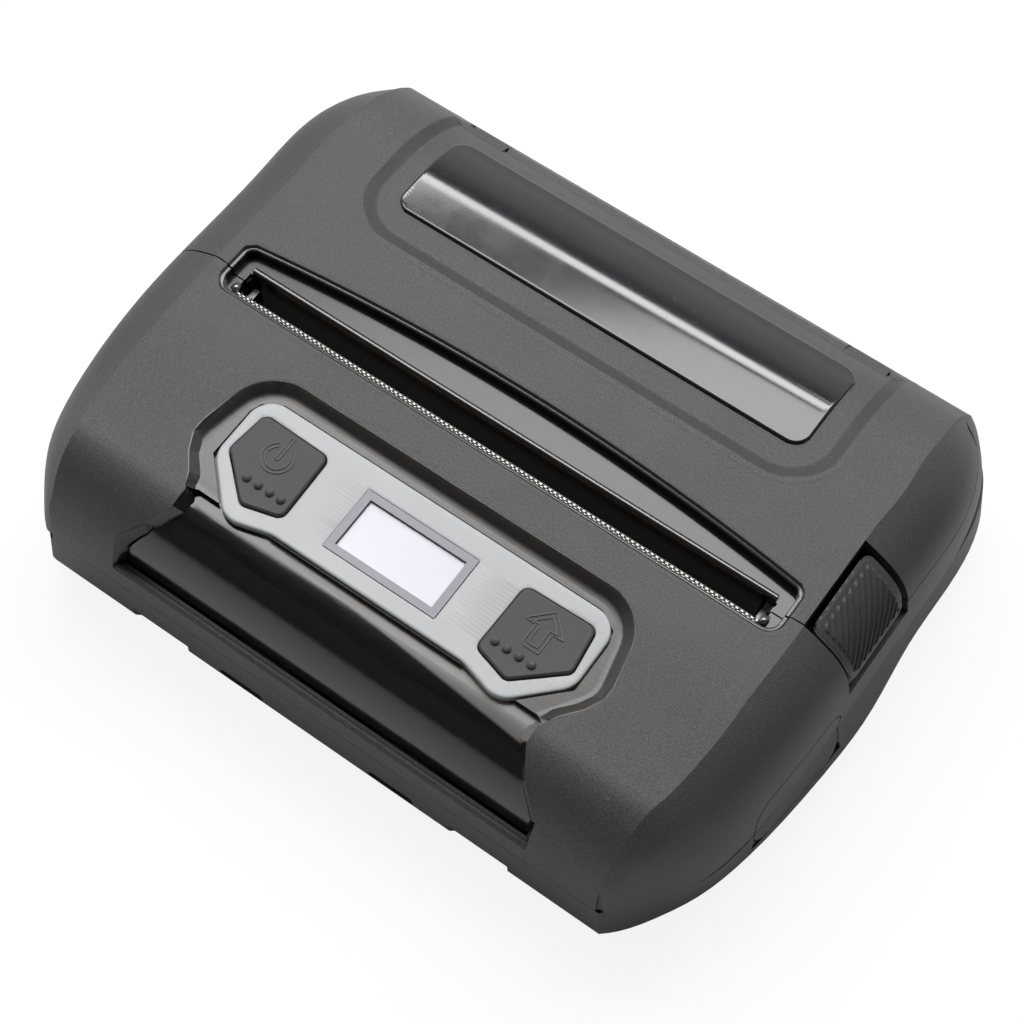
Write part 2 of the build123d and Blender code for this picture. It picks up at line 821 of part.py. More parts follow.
def panel_key(side):
    """Rubber key, a little proud of the panel, with a row of four domes."""
    with BuildPart() as key:
        add(button_prism(side, 0.0, KEY_FOOT_Z, 45.0))
        add(case_slab(KEY_TOP), mode=Mode.INTERSECT)
        top = key.faces().sort_by(Axis.Z)[-1]
        chamfer(top.edges(), length=0.3)
        with Locations(*[(side * x, DOME_Y, top_height(DOME_Y) - KEY_TOP - 0.4) for x in DOME_X]):
            Sphere(0.9)
    return key.part


power_button = panel_key(-1)
power_button.label = "power_button"
export_step(power_button, "parts/power_button.step")
feed_button = panel_key(1)
feed_button.label = "feed_button"
export_step(feed_button, "parts/feed_button.step")

with BuildPart() as button_board:
    with BuildSketch(Plane.XY.offset(31.4)):
        with Locations((0, -34.5)):
            RectangleRounded(82.0, 20.0, 2.0)
    extrude(amount=1.2)
    # Dome switches under the keys
    with BuildSketch(Plane.XY.offset(32.6)):
        with Locations((-29.0, -34.0), (29.0, -34.0)):
            Circle(3.0)
    extrude(amount=2.2)
    # Seat of the display module
    with BuildSketch(Plane.XY.offset(32.6)):
        with Locations((0, -34.25)):
            Rectangle(20.0, 9.6)
    extrude(amount=1.4)
button_board.part.label = "button_board"
export_step(button_board.part, "parts/button_board.step")


def toothed_strip(bottom, top, tip_y, root_y, back_y):
    """Strip along the slot with a saw edge of one tooth a millimetre."""
    count = int(2 * (SLOT_X - 0.4) / TOOTH_PITCH)
    start = -count * TOOTH_PITCH / 2
    edge = [(start, back_y), (start, root_y)]
    for i in range(count):
        edge.append((start + (i + 0.5) * TOOTH_PITCH, tip_y))
        edge.append((start + (i + 1) * TOOTH_PITCH, root_y))
    edge.append((-start, back_y))
    with BuildPart() as strip:
        with BuildSketch(Plane.XY.offset(bottom)):
            with BuildLine():
                Polyline(*edge, close=True)
            make_face()
        extrude(amount=top - bottom)
    return strip.part


with BuildPart() as tear_bar:
    add(toothed_strip(TROUGH_FLOOR + 0.4, TROUGH_FLOOR + 1.0, -7.45, -8.1, -9.0))
    with BuildSketch(Plane.XY.offset(TROUGH_FLOOR)):
        with Locations((0, -8.55)):
            Rectangle(117.2, 0.9)
    extrude(amount=0.4)
tear_bar.part.label = "tear_bar"
export_step(tear_bar.part, "parts/tear_bar.step")

with BuildPart() as guide_bar:
    add(toothed_strip(TROUGH_FLOOR, TROUGH_FLOOR + 0.9, -2.8, -2.2, -1.4))
guide_bar.part.label = "guide_bar"
export_step(guide_bar.part, "parts/guide_bar.step")

# Platen roller, shaft and bushings
with BuildPart() as platen_roller:
    with BuildSketch(Plane.YZ.offset(-PLATEN_X)):
        with Locations((PLATEN_Y, PLATEN_Z)):
            Circle(PLATEN_R)
            Circle(SHAFT_R, mode=Mode.SUBTRACT)
    extrude(amount=2 * PLATEN_X)
platen_roller.part.label = "platen_roller"
export_step(platen_roller.part, "parts/platen_roller.step")

with BuildPart() as platen_shaft:
    with BuildSketch(Plane.YZ.offset(GEAR_X - 0.6)):
        with Locations((PLATEN_Y, PLATEN_Z)):
            Circle(SHAFT_R)
    extrude(amount=61.0 - GEAR_X + 0.6)
    chamfer(edges().filter_by(GeomType.CIRCLE), length=0.3)
platen_shaft.part.label = "platen_shaft"
export_step(platen_shaft.part, "parts/platen_shaft.step")

with BuildPart() as platen_bushings:
    for x in (-58.3, 56.3):
        with BuildSketch(Plane.YZ.offset(x)):
            with Locations((PLATEN_Y, PLATEN_Z)):
                Circle(3.6)
                Circle(SHAFT_R + 0.05, mode=Mode.SUBTRACT)
        extrude(amount=2.0)
platen_bushings.part.label = "platen_bushings"
export_step(platen_bushings.part, "parts/platen_bushings.step")

IDLER_C = GEAR_MODULE * (PLATEN_TEETH + IDLER_TEETH) / 2
IDLER_Y = PLATEN_Y - 0.033 * IDLER_C
IDLER_Z = PLATEN_Z - 0.9995 * IDLER_C
PINION_C = GEAR_MODULE * (IDLER_TEETH + PINION_TEETH) / 2
PINION_ANGLE = 200.0
PINION_Y = IDLER_Y + PINION_C * cos(radians(PINION_ANGLE))
PINION_Z = IDLER_Z + PINION_C * sin(radians(PINION_ANGLE))
MESH_ANGLE = 268.1


def gear(teeth, turn, y, z, bore):
    """Spur gear on an X axis through (y, z)."""
    with BuildPart() as wheel:
        with BuildSketch(Plane.YZ.offset(GEAR_X)):
            with Locations((y, z)):
                add(gear_face(teeth, turn))
                if bore:
                    Circle(bore, mode=Mode.SUBTRACT)
        extrude(amount=GEAR_WIDTH)
    return wheel.part


platen_gear = gear(PLATEN_TEETH, MESH_ANGLE, PLATEN_Y, PLATEN_Z, SHAFT_R)
platen_gear.label = "platen_gear"
export_step(platen_gear, "parts/platen_gear.step")

# A gap of the idler faces the platen gear's tooth; a tooth of the pinion faces its gap
idler_turn = MESH_ANGLE - 180.0 + 180.0 / IDLER_TEETH
idler_gear = gear(IDLER_TEETH, idler_turn, IDLER_Y, IDLER_Z, 1.55)
idler_gear.label = "idler_gear"
export_step(idler_gear, "parts/idler_gear.step")

idler_step = 360.0 / IDLER_TEETH
idler_phase = ((PINION_ANGLE - idler_turn) / idler_step) % 1.0
pinion_turn = PINION_ANGLE - 180.0 - (idler_phase - 0.5) * 360.0 / PINION_TEETH
with BuildPart() as motor_pinion:
    add(gear(PINION_TEETH, pinion_turn, PINION_Y, PINION_Z, 0))
    with BuildSketch(Plane.YZ.offset(GEAR_X + GEAR_WIDTH)):
        with Locations((PINION_Y, PINION_Z)):
            Circle(1.0)
    extrude(amount=4.0)
motor_pinion.part.label = "motor_pinion"
export_step(motor_pinion.part, "parts/motor_pinion.step")

# Sheet-metal frame of the mechanism: two side plates and a front wall
with BuildPart() as mechanism_frame:
    for x in (-57.9, 56.7):
        with BuildSketch(Plane.YZ.offset(x)):
            with BuildLine():
                Polyline(
                    (-15.6, FLOOR_Z),
                    (-15.6, 32.0),
                    (-12.0, 34.0),
                    (-3.2, 34.0),
                    (-2.4, 29.0),
                    (5.4, 29.0),
                    (6.6, 33.0),
                    (9.4, 30.0),
                    (9.4, FLOOR_Z),
                    close=True,
                )
            make_face()
            with Locations((PLATEN_Y, PLATEN_Z)):
                Circle(3.9, mode=Mode.SUBTRACT)
            with Locations((PINION_Y, PINION_Z)):
                Circle(1.6, mode=Mode.SUBTRACT)
        extrude(amount=1.2)
    with BuildSketch(Plane.XZ.offset(14.6)):
        with Locations((0, 17.35)):
            Rectangle(115.8, 27.3)
    extrude(amount=1.0)
mechanism_frame.part.label = "mechanism_frame"
export_step(mechanism_frame.part, "parts/mechanism_frame.step")

with BuildPart() as idler_axle:
    with BuildSketch(Plane.YZ.offset(-64.6)):
        with Locations((IDLER_Y, IDLER_Z)):
            Circle(1.5)
    extrude(amount=6.7)
idler_axle.part.label = "idler_axle"
export_step(idler_axle.part, "parts/idler_axle.step")

with BuildPart() as stepper_motor:
    with BuildSketch(Plane.YZ.offset(-56.7)):
        with Locations((PINION_Y, PINION_Z)):
            Circle(4.4)
    extrude(amount=17.1)
    with BuildSketch(Plane.YZ.offset(-54.6)):
        with Locations((PINION_Y, PINION_Z)):
            Circle(4.9)
    extrude(amount=14.0)
stepper_motor.part.label = "stepper_motor"
export_step(stepper_motor.part, "parts/stepper_motor.step")

with BuildPart() as print_head:
    with BuildSketch(Plane.YZ.offset(-55.0)):
        with BuildLine():
            Polyline(
                (-6.6, 20.4),
                (-6.6, 33.4),
                (-5.4, 33.4),
                (-4.8, 31.0),
                (-4.8, 26.0),
                (-5.6, 20.4),
                close=True,
            )
        make_face()
    extrude(amount=110.0)
print_head.part.label = "print_head"
export_step(print_head.part, "parts/print_head.step")

with BuildPart() as heat_sink:
    with BuildSketch(Plane.YZ.offset(-56.7)):
        with Locations((-8.4, 27.2)):
            Rectangle(3.6, 13.6)
        with Locations(*[(-10.0, 22.4 + 2.4 * i) for i in range(5)]):
            Rectangle(1.2, 1.2, mode=Mode.SUBTRACT)
    extrude(amount=113.4)
heat_sink.part.label = "heat_sink"
export_step(heat_sink.part, "parts/heat_sink.step")

with BuildPart() as head_springs:
    with BuildSketch(Plane.XZ.offset(10.2)):
        with Locations((-34.0, 26.8), (0.0, 26.8), (34.0, 26.8)):
            Circle(2.4)
            Circle(1.5, mode=Mode.SUBTRACT)
    extrude(amount=3.6)
head_springs.part.label = "head_springs"
export_step(head_springs.part, "parts/head_springs.step")

# Paper bay: curved tray between two cheeks
with BuildPart() as paper_tray:
    with BuildSketch(Plane.YZ.offset(-58.6)):
        with BuildLine():
            ThreePointArc((11.0, 14.0), (30.0, 5.2), (52.0, 22.0))
            Line((52.0, 22.0), (53.2, 22.0))
            ThreePointArc((53.2, 22.0), (31.0, 3.9), (10.0, 13.2))
            Line((10.0, 13.2), (11.0, 14.0))
        make_face()
    extrude(amount=117.2)
    for x in (-59.8, 58.6):
        with BuildSketch(Plane.YZ.offset(x)):
            with BuildLine():
                Polyline(
                    (10.0, 30.0),
                    (10.0, FLOOR_Z),
                    (45.0, FLOOR_Z),
                    (53.2, 14.0),
                    (53.2, 25.0),
                    (49.0, 30.0),
                    close=True,
                )
            make_face()
        extrude(amount=1.2)
paper_tray.part.label = "paper_tray"
export_step(paper_tray.part, "parts/paper_tray.step")

with BuildPart() as paper_sensor:
    with BuildSketch(Plane.XY.offset(17.0)):
        with Locations((20.0, -3.5)):
            Rectangle(8.0, 5.8)
    extrude(amount=3.4)
paper_sensor.part.label = "paper_sensor"
export_step(paper_sensor.part, "parts/paper_sensor.step")

with BuildPart() as hinge_pins:
    for side in (-1, 1):
        with BuildSketch(Plane.YZ.offset(side * KNUCKLES[1] - 15.0)):
            with Locations((HINGE_Y, HINGE_Z)):
                Circle(PIN_R)
        extrude(amount=30.0)
hinge_pins.part.label = "hinge_pins"
export_step(hinge_pins.part, "parts/hinge_pins.step")



def grip_grooves():
    """Slanting grooves across the cap of the latch button."""
    with BuildPart() as grooves:
        with BuildSketch(Plane.XY.offset(20.0)):
            with Locations(*[(71.5, LATCH_RIB_Y + LATCH_RIB_PITCH * i) for i in range(LATCH_RIBS)]):
                Rectangle(14.0, 0.8, rotation=24.0)
        extrude(amount=25.0)
        add(OUTER.moved(Location((-LATCH_RIB_DEPTH, 0, -LATCH_RIB_DEPTH))), mode=Mode.SUBTRACT)
    return grooves.part


# Latch button in the right shoulder: curved cap with slanting ribs, stem and hook
with BuildPart() as latch_button:
    with BuildSketch(Plane.XY.offset(20.0)):
        with Locations((71.5, 4.9)):
            RectangleRounded(9.6, 19.0, 1.6)
    extrude(amount=25.0)
    add(OUTER, mode=Mode.INTERSECT)
    add(INNER, mode=Mode.SUBTRACT)
    split(bisect_by=Plane.XY.offset(27.0), keep=Keep.TOP)
    add(grip_grooves(), mode=Mode.SUBTRACT)
    with BuildSketch(Plane.XZ.offset(-8.0)):
        with BuildLine():
            Polyline(
                (68.6, 37.0),
                (68.6, 23.4),
                (65.0, 22.8),
                (65.0, 21.4),
                (70.2, 21.4),
                (70.2, 36.4),
                close=True,
            )
        make_face()
    extrude(amount=5.4)
latch_button.part.label = "latch_button"
export_step(latch_button.part, "parts/latch_button.step")

# Port flap: a curved plate that turns down on a barrel along its lower edge
with BuildPart() as port_cover:
    add(OUTER)
    add(LOWER_OUTER)
    add(flap_prism(FLAP_BACK_X, 85.0, 0.0), mode=Mode.INTERSECT)
    with BuildSketch(Plane(origin=FLAP_AXIS, z_dir=(FLAP_LEAN, 1, 0))):
        Circle(FLAP_BARREL_R)
    extrude(amount=6.0, both=True)
port_cover.part.label = "port_cover"
export_step(port_cover.part, "parts/port_cover.step")

# Main board with its sockets behind the port flap
with BuildPart() as main_board:
    with BuildSketch(Plane.XY.offset(6.0)):
        with Locations((8.0, -6.0)):
            Rectangle(92.0, 14.0)
        with Locations((65.7, -19.0)):
            Rectangle(14.6, 28.0)
    extrude(amount=1.2)
    # Pillars that carry the board
    with BuildSketch(Plane.XY.offset(FLOOR_Z)):
        with Locations((-34.0, -3.0), (46.0, -3.0), (62.0, -30.0), (62.0, -8.0)):
            Circle(2.0)
    extrude(amount=6.0 - FLOOR_Z)
    with BuildSketch(Plane.XY.offset(7.2)):
        with Locations((0.0, -6.0)):
            Rectangle(12.0, 8.0)
        with Locations((26.0, -6.0)):
            Rectangle(8.0, 8.0)
    extrude(amount=1.4)
main_board.part.label = "main_board"
export_step(main_board.part, "parts/main_board.step")

with BuildPart() as port_sockets:
    with BuildSketch(Plane.YZ.offset(62.0)):
        with Locations((-26.0, 12.4)):
            Rectangle(9.0, 10.4)
            Circle(3.2, mode=Mode.SUBTRACT)
        with Locations((-14.0, 10.4)):
            Rectangle(8.0, 6.4)
            Rectangle(6.4, 4.6, mode=Mode.SUBTRACT)
    extrude(amount=10.0)
port_sockets.part.label = "port_sockets"
export_step(port_sockets.part, "parts/port_sockets.step")

with BuildPart() as case_screws:
    for x in (-64.0, 64.0):
        for y in (-39.0, 39.0):
            with BuildSketch(Plane.XY.offset(BOTTOM_Z + 0.2)):
                with Locations((x, y)):
                    Circle(1.25)
            extrude(amount=13.0)
case_screws.part.label = "case_screws"
export_step(case_screws.part, "parts/case_screws.step")
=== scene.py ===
from math import cos, pi, radians, sin, sqrt, tan

import bmesh
import bpy
import numpy as np
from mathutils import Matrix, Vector
from mathutils.bvhtree import BVHTree


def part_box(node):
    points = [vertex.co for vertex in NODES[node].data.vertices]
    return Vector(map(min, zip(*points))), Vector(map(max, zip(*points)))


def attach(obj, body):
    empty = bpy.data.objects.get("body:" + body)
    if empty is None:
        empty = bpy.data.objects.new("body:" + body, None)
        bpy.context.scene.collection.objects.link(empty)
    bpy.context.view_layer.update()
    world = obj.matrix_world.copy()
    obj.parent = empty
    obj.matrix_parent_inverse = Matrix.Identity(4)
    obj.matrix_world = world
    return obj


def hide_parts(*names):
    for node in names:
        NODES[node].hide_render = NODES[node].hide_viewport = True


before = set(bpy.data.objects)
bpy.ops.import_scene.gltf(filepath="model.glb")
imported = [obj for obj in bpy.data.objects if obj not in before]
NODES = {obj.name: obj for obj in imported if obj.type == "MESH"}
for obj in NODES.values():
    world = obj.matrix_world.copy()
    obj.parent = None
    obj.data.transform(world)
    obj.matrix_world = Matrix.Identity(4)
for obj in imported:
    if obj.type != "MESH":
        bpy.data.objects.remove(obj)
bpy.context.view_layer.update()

bl_info = {
    "name": "Receipt printer finish",
    "version": (1, 0, 0),
    "blender": (4, 5, 0),
    "location": "3D View > Sidebar > Printer",
    "description": "Finishes, markings and studio for a portable receipt printer",
    "category": "Object",
}

# Steps along outlines, and the distance at which points are welded, in metres
MM = 0.001
PATH_STEP = 0.0008
FINE_STEP = 0.0005
WELD = 0.000004

# Case top in side view: two quarter ellipses and a flat roof, in metres
PART_Z = 0.016
ROOF_Z = 0.040
FRONT_ARC = (-0.047, 0.0142, 0.0227)
REAR_ARC = (0.033, 0.0283, 0.024)
ROOF_BEND = (-0.047, -0.030, -0.017)
ROOF_DROP = (-0.0013, -0.0006, 0.0)
ROOF_SLOPE = (0.010, 0.0638, 0.0)
SEAM_Y = -0.005
# Across the shoulders, from the first x to the second, the flanks take painted shade
FLANK_SHADE_X = (0.064, 0.074)
# Height and half width of the thin line at the parting of the shells, which takes painted shade
PARTING_SHADE_DROP = 0.00004
PARTING_SHADE_HALF = 0.00016

# Trough of the paper exit, which is polished inside
TROUGH_HALF = 0.0635
TROUGH_Y = (-0.0125, 0.0135)
TROUGH_MARGIN = 0.0002

# Ring round the panel, and the land between it and the scoop, which takes a painted highlight
RING_DEPTH = 0.0014
RING_FLOOR_Z = 0.0380
RING_MIDDLE_Y = -0.032
RING_TILT = 0.045
RING_LIFT = 0.000024
LAND_TAPER = 0.0814
LAND_EDGE = -0.0469
LAND_SOFT = 0.0005
LAND_HIGHLIGHT_Y = (-0.0452, -0.0458)
LAND_HIGHLIGHT_X = (-0.020, 0.012)

# Outlines of the right half, corner by corner: x, y and corner radius, in millimetres
RING_CORNERS = ((41.9, -18.2, 10.2), (45.7, -36.7, 8.0), (39.2, -46.4, 0.0))
PAD_CORNERS = ((53.0, 17.2, 11.4), (53.0, 60.4, 0.0))
WINDOW_CORNERS = ((46.2, 48.0, 3.6), (46.2, 25.1, 3.4))
PANEL_CORNERS = ((39.4, -22.8, 5.0), (39.4, -37.5, 5.0), (29.9, -47.1, 5.0), (21.0, -44.6, 8.0))
KEY_CORNERS = (
    (36.5, -26.4, 1.6), (21.8, -26.8, 1.6), (21.4, -41.0, 1.6), (29.0, -43.1, 1.6), (37.6, -35.5, 1.6))
DISPLAY_OPENING = (24.5, 13.6, -34.25)
EXIT_CORNERS = ((62.6, -10.1, 3.5), (62.6, 1.57, 2.8))
EXIT_REACH = 60.9
EXIT_FOOT = 1.8
EXIT_CREST = 5.9

# Tear bar: pitch and half span of the teeth, and the lines of their roots, tips and back, in metres
TOOTH_PITCH = 0.00105
TEETH_SPAN = 0.0586
TOOTH_ROOT = -0.00825
TOOTH_TIP = -0.0074
TOOTH_BACK = -0.0091
TOOTH_DEPTH = 0.00035
TOOTH_SHARE = 0.36
TOOTH_EDGE = 0.0001
RIDGE_BACK = 0.0002
RIDGE_DROP = 0.00005
STRIP_REACH = 0.0003
STRIP_RISE = 0.00002
TAB_CORNERS = ((-0.0004, -0.0086), (0.0011, -0.0080), (0.0011, -0.0062), (-0.0004, -0.0066))
TAB_LEVELS = (0.0379, 0.0387)
TAB_LEAN = 0.0001

# Keys: how far their tops lie under the case top, then the marks on them
KEY_LEVEL = 0.0003
LINE_SINK = 0.00003
MARK_HEIGHT = 0.00022
POWER_MARK_AT = (-0.0292, -0.0322)
FEED_MARK_AT = (0.0292, -0.0322)
SIGN_RADII = (0.0023, 0.0031)
SIGN_TURN = (122, 296)
SIGN_BAR = (0.0004, 0.0043)
ARROW_INSETS = (0.0, 0.0008)

# Lights: place, then width and length; and the sky's level by height
KEY_LIGHT = ((-0.27, 0.42, 1.04), (1.3, 0.34))
STRIP_LIGHT = ((-0.31, 0.68, 0.90), (1.1, 0.10))
FILL_LIGHT = ((-0.55, -0.10, 1.10), (0.9, 0.9))
LIGHT_AIM = (0.0, 0.0, 0.02)
SKY_STOPS = ((0.02, 5.0), (0.14, 5.0), (0.26, 7.0), (0.55, 6.0), (0.70, 1.0), (0.80, 1.2), (0.95, 1.6))
SKY_TURN = 0.55
SKY_FADE = (-0.35, 0.55, 0.12, 1.0)
FLOOR_REACH = 3.0
FLOOR_GLOW = 0.88

# Camera, from the outline of the case in the photograph
CAMERA_AZIMUTH = 0.56621
CAMERA_ELEVATION = 1.06921
CAMERA_ROLL = 0.05944
CAMERA_DISTANCE = 0.39801
CAMERA_SLIDE = (0.002625, -0.014216)
CAMERA_AIM = (0.0, -0.005, 0.040)
FOCAL_PIXELS = 2197.24
PICTURE_PIXELS = 1024
SENSOR = 36.0


# Settings
def color_setting(label, note, default):
    """Colour that the sidebar offers."""
    return bpy.props.FloatVectorProperty(
        name=label, description=note, subtype="COLOR", size=3, default=default, min=0.0, max=1.0)


def length_setting(label, note, default, low, high):
    """Length that the sidebar offers."""
    return bpy.props.FloatProperty(
        name=label, description=note, subtype="DISTANCE", unit="LENGTH", default=default, min=low, max=high)


def power_setting(label, note, default):
    """Power of a light."""
    return bpy.props.FloatProperty(
        name=label, description=note, unit="POWER", default=default, min=0.0, max=500.0)


class PrinterCaseSettings(bpy.types.PropertyGroup):
    case_color: color_setting("Shell", "Colour of the matt case", (0.043, 0.043, 0.0445))
    gloss_color: color_setting("Gloss", "Colour of the recess and the paper exit", (0.012, 0.0115, 0.011))
    window_color: color_setting("Window", "Colour of the smoked window", (0.010, 0.0105, 0.012))
    grain_size: length_setting("Grain size", "Size of the moulded grain", 0.00027, 0.0001, 0.005)
    grain_depth: length_setting("Grain depth", "Depth of the moulded grain", 0.00006, 0.0, 0.001)


class PrinterPanelSettings(bpy.types.PropertyGroup):
    panel_color: color_setting("Panel", "Colour of the silver panel", (0.33, 0.34, 0.345))
    bezel_color: color_setting("Display frame", "Colour of the frame round the display", (0.20, 0.21, 0.23))
    display_color: color_setting("Display", "Colour of the blank display", (0.36, 0.36, 0.42))
    key_color: color_setting("Keys", "Colour of the rubber keys", (0.060, 0.061, 0.066))
    mark_line: length_setting("Mark line", "Width of the raised lines on the keys", 0.00034, 0.0001, 0.002)


class PrinterStageSettings(bpy.types.PropertyGroup):
    floor_color: color_setting("Floor", "Colour of the floor", (0.86, 0.86, 0.86))
    key_power: power_setting("Key light", "Power of the large light over the rear", 11.4)
    strip_power: power_setting("Strip light", "Power of the narrow light mirrored in the window", 5.2)
    fill_power: power_setting("Fill light", "Power of the soft light overhead, which gives no highlight", 3.4)
    world_level: bpy.props.FloatProperty(
        name="Surroundings", description="Strength of the light all round", default=0.16, min=0.0, max=5.0)


# Nodes
def feed(tree, value, socket):
    """Joins a socket to another, or sets it to a plain value."""
    if isinstance(value, bpy.types.NodeSocket):
        tree.links.new(value, socket)
    elif isinstance(value, tuple) and socket.type == "RGBA":
        socket.default_value = (*value[:3], 1.0)
    else:
        socket.default_value = value


def fill_in(tree, node, **values):
    """Feeds a node's inputs by name, with _ for each space."""
    for label, value in values.items():
        feed(tree, value, node.inputs[label.replace("_", " ")])
    return node


def add_node(tree, kind, **values):
    """Adds a shader node and feeds its inputs."""
    return fill_in(tree, tree.nodes.new("ShaderNode" + kind), **values)


def math_node(tree, operation, first, second=None, clamp=False):
    """One Math node whose inputs are sockets or plain numbers."""
    node = add_node(tree, "Math")
    node.operation = operation
    node.use_clamp = clamp
    feed(tree, first, node.inputs[0])
    if second is not None:
        feed(tree, second, node.inputs[1])
    return node.outputs[0]


def times(tree, first, second, clamp=False):
    """Product of two values."""
    return math_node(tree, "MULTIPLY", first, second, clamp)


def color_mix(tree, factor, first, second):
    """Mixes two colours by a mask."""
    node = add_node(tree, "Mix")
    node.data_type = "RGBA"
    node.clamp_factor = True
    for index, value in ((0, factor), (6, first), (7, second)):
        feed(tree, value, node.inputs[index])
    return node.outputs[2]


def span_node(tree, value, low, high, to_low=0.0, to_high=1.0):
    """Maps a value from one range to another, clamped."""
    node = add_node(tree, "MapRange", Value=value, From_Min=low, From_Max=high, To_Min=to_low, To_Max=to_high)
    return node.outputs["Result"]


def noise_node(tree, vector, scale, detail=2.0, rough=0.5):
    """Noise over the surface of the piece."""
    node = add_node(tree, "TexNoise", Vector=vector, Scale=scale, Detail=detail, Roughness=rough)
    return node.outputs["Fac"]


def object_vector(tree):
    """Coordinates that ride with the piece."""
    return add_node(tree, "TexCoord").outputs["Object"]


def split_vector(tree, vector):
    """The X, Y and Z of a vector."""
    return add_node(tree, "SeparateXYZ", Vector=vector).outputs


def bump_node(tree, height, strength, distance):
    """Bump from a height."""
    return add_node(tree, "Bump", Strength=strength, Distance=distance, Height=height).outputs["Normal"]


def new_group(name, inputs, outputs):
    """Empty shader node group; returns the tree, its inputs' sockets and its output node."""
    tree = bpy.data.node_groups.new(name, "ShaderNodeTree")
    for label, default in inputs.items():
        kind = "NodeSocketVector" if isinstance(default, tuple) else "NodeSocketFloat"
        socket = tree.interface.new_socket(name=label, in_out="INPUT", socket_type=kind)
        socket.default_value = default
    for label in outputs:
        tree.interface.new_socket(name=label, in_out="OUTPUT", socket_type="NodeSocketFloat")
    return tree, tree.nodes.new("NodeGroupInput").outputs, tree.nodes.new("NodeGroupOutput")


def moulded_grain():
    """Fine spark-eroded grain with a faint cloudy shift of tint."""
    tree, given, end = new_group(
        "Moulded grain", {"Size": 0.0004, "Contrast": 0.3}, ("Height", "Speckle", "Cloud"))
    where = object_vector(tree)
    scale = math_node(tree, "DIVIDE", 1.0, given["Size"])
    fine = noise_node(tree, where, scale, 2.5, 0.62)
    pits = add_node(tree, "TexVoronoi", Vector=where, Scale=scale)
    pit_depth = span_node(tree, pits.outputs["Distance"], 0.15, 0.75)
    height = math_node(tree, "ADD", times(tree, fine, 0.65), times(tree, pit_depth, 0.35))
    centred = math_node(tree, "SUBTRACT", fine, 0.5)
    strong = times(tree, centred, times(tree, given["Contrast"], 3.0))
    cloud = noise_node(tree, where, 38.0, 3.0, 0.55)
    fill_in(tree, end, Height=height, Speckle=math_node(tree, "ADD", strong, 0.5, clamp=True),
            Cloud=span_node(tree, cloud, 0.35, 0.65))
    return tree


def settled_dust():
    """Thin dust on faces that look up, broken up by noise."""
    tree, given, end = new_group("Settled dust", {"Amount": 0.1}, ("Mask",))
    where = object_vector(tree)
    normal = add_node(tree, "NewGeometry").outputs["Normal"]
    upward = span_node(tree, split_vector(tree, normal)["Z"], 0.3, 1.0)
    specks = span_node(tree, noise_node(tree, where, 900.0, 2.0, 0.7), 0.62, 0.74)
    patches = span_node(tree, noise_node(tree, where, 55.0, 3.0, 0.6), 0.4, 0.7)
    dust = times(tree, times(tree, specks, patches), upward)
    fill_in(tree, end, Mask=times(tree, dust, given["Amount"], clamp=True))
    return tree


def handling_smears():
    """Soft smears that change the sheen of polished and satin faces."""
    tree, given, end = new_group("Handling smears", {"Base": 0.2, "Range": 0.1}, ("Roughness",))
    where = object_vector(tree)
    wide = noise_node(tree, where, 60.0, 3.0, 0.55)
    tight = noise_node(tree, where, 420.0, 2.0, 0.6)
    both = math_node(tree, "ADD", times(tree, wide, 0.7), times(tree, tight, 0.3))
    shift = times(tree, math_node(tree, "SUBTRACT", both, 0.5), given["Range"])
    fill_in(tree, end, Roughness=math_node(tree, "ADD", given["Base"], shift, clamp=True))
    return tree


def drawn_lines():
    """Fine lines along one axis, as on brushed or ground metal."""
    tree, given, end = new_group(
        "Drawn lines", {"Stretch": (20.0, 900.0, 900.0)}, ("Height", "Shade"))
    drawn = add_node(tree, "VectorMath")
    drawn.operation = "MULTIPLY"
    feed(tree, object_vector(tree), drawn.inputs[0])
    feed(tree, given["Stretch"], drawn.inputs[1])
    lines = noise_node(tree, drawn.outputs[0], 1.0, 3.0, 0.6)
    fill_in(tree, end, Height=lines, Shade=span_node(tree, lines, 0.3, 0.7))
    return tree


def below_surface():
    """Masks from the side view of the case: how far a point lies under the top skin,
    the thin line where the two case halves meet, which takes painted shade for their gap, and the flanks,
    which take painted shade."""
    tree, given, end = new_group("Shell levels", {"Depth": 0.00025}, ("Sunk", "Parting line", "Flank"))
    x, y, z = split_vector(tree, object_vector(tree))
    side = math_node(tree, "ABSOLUTE", x)
    level = math_node(tree, "SUBTRACT", ROOF_Z - TROUGH_MARGIN, given["Depth"])
    sunk_top = math_node(tree, "LESS_THAN", z, level)
    near = math_node(tree, "LESS_THAN", side, TROUGH_HALF)
    behind = math_node(tree, "GREATER_THAN", y, TROUGH_Y[0])
    ahead = math_node(tree, "LESS_THAN", y, TROUGH_Y[1])
    gap = math_node(tree, "ABSOLUTE", math_node(tree, "SUBTRACT", z, PART_Z - PARTING_SHADE_DROP))
    fill_in(tree, end, Sunk=times(tree, times(tree, sunk_top, near), times(tree, behind, ahead)),
            Parting_line=math_node(tree, "LESS_THAN", gap, PARTING_SHADE_HALF),
            Flank=span_node(tree, side, *FLANK_SHADE_X))
    return tree


GROUPS = {}


def group_node(tree, key, **values):
    """Places a shared group in a material, with its own values; returns its outputs."""
    node = tree.nodes.new("ShaderNodeGroup")
    node.node_tree = GROUPS[key]
    return fill_in(tree, node, **values).outputs


def smeared(tree, base, reach):
    """Roughness with faint smears."""
    return group_node(tree, "smears", Base=base, Range=reach)["Roughness"]


def dusted(tree, color, amount, grey):
    """Colour with a little dust on it."""
    return color_mix(tree, group_node(tree, "dust", Amount=amount)["Mask"], color, (grey, grey, grey))


def scaled(color, factor):
    """Colour times a number, or times one number for each channel."""
    factors = factor if isinstance(factor, tuple) else (factor,) * 3
    return tuple(c * k for c, k in zip(color, factors))


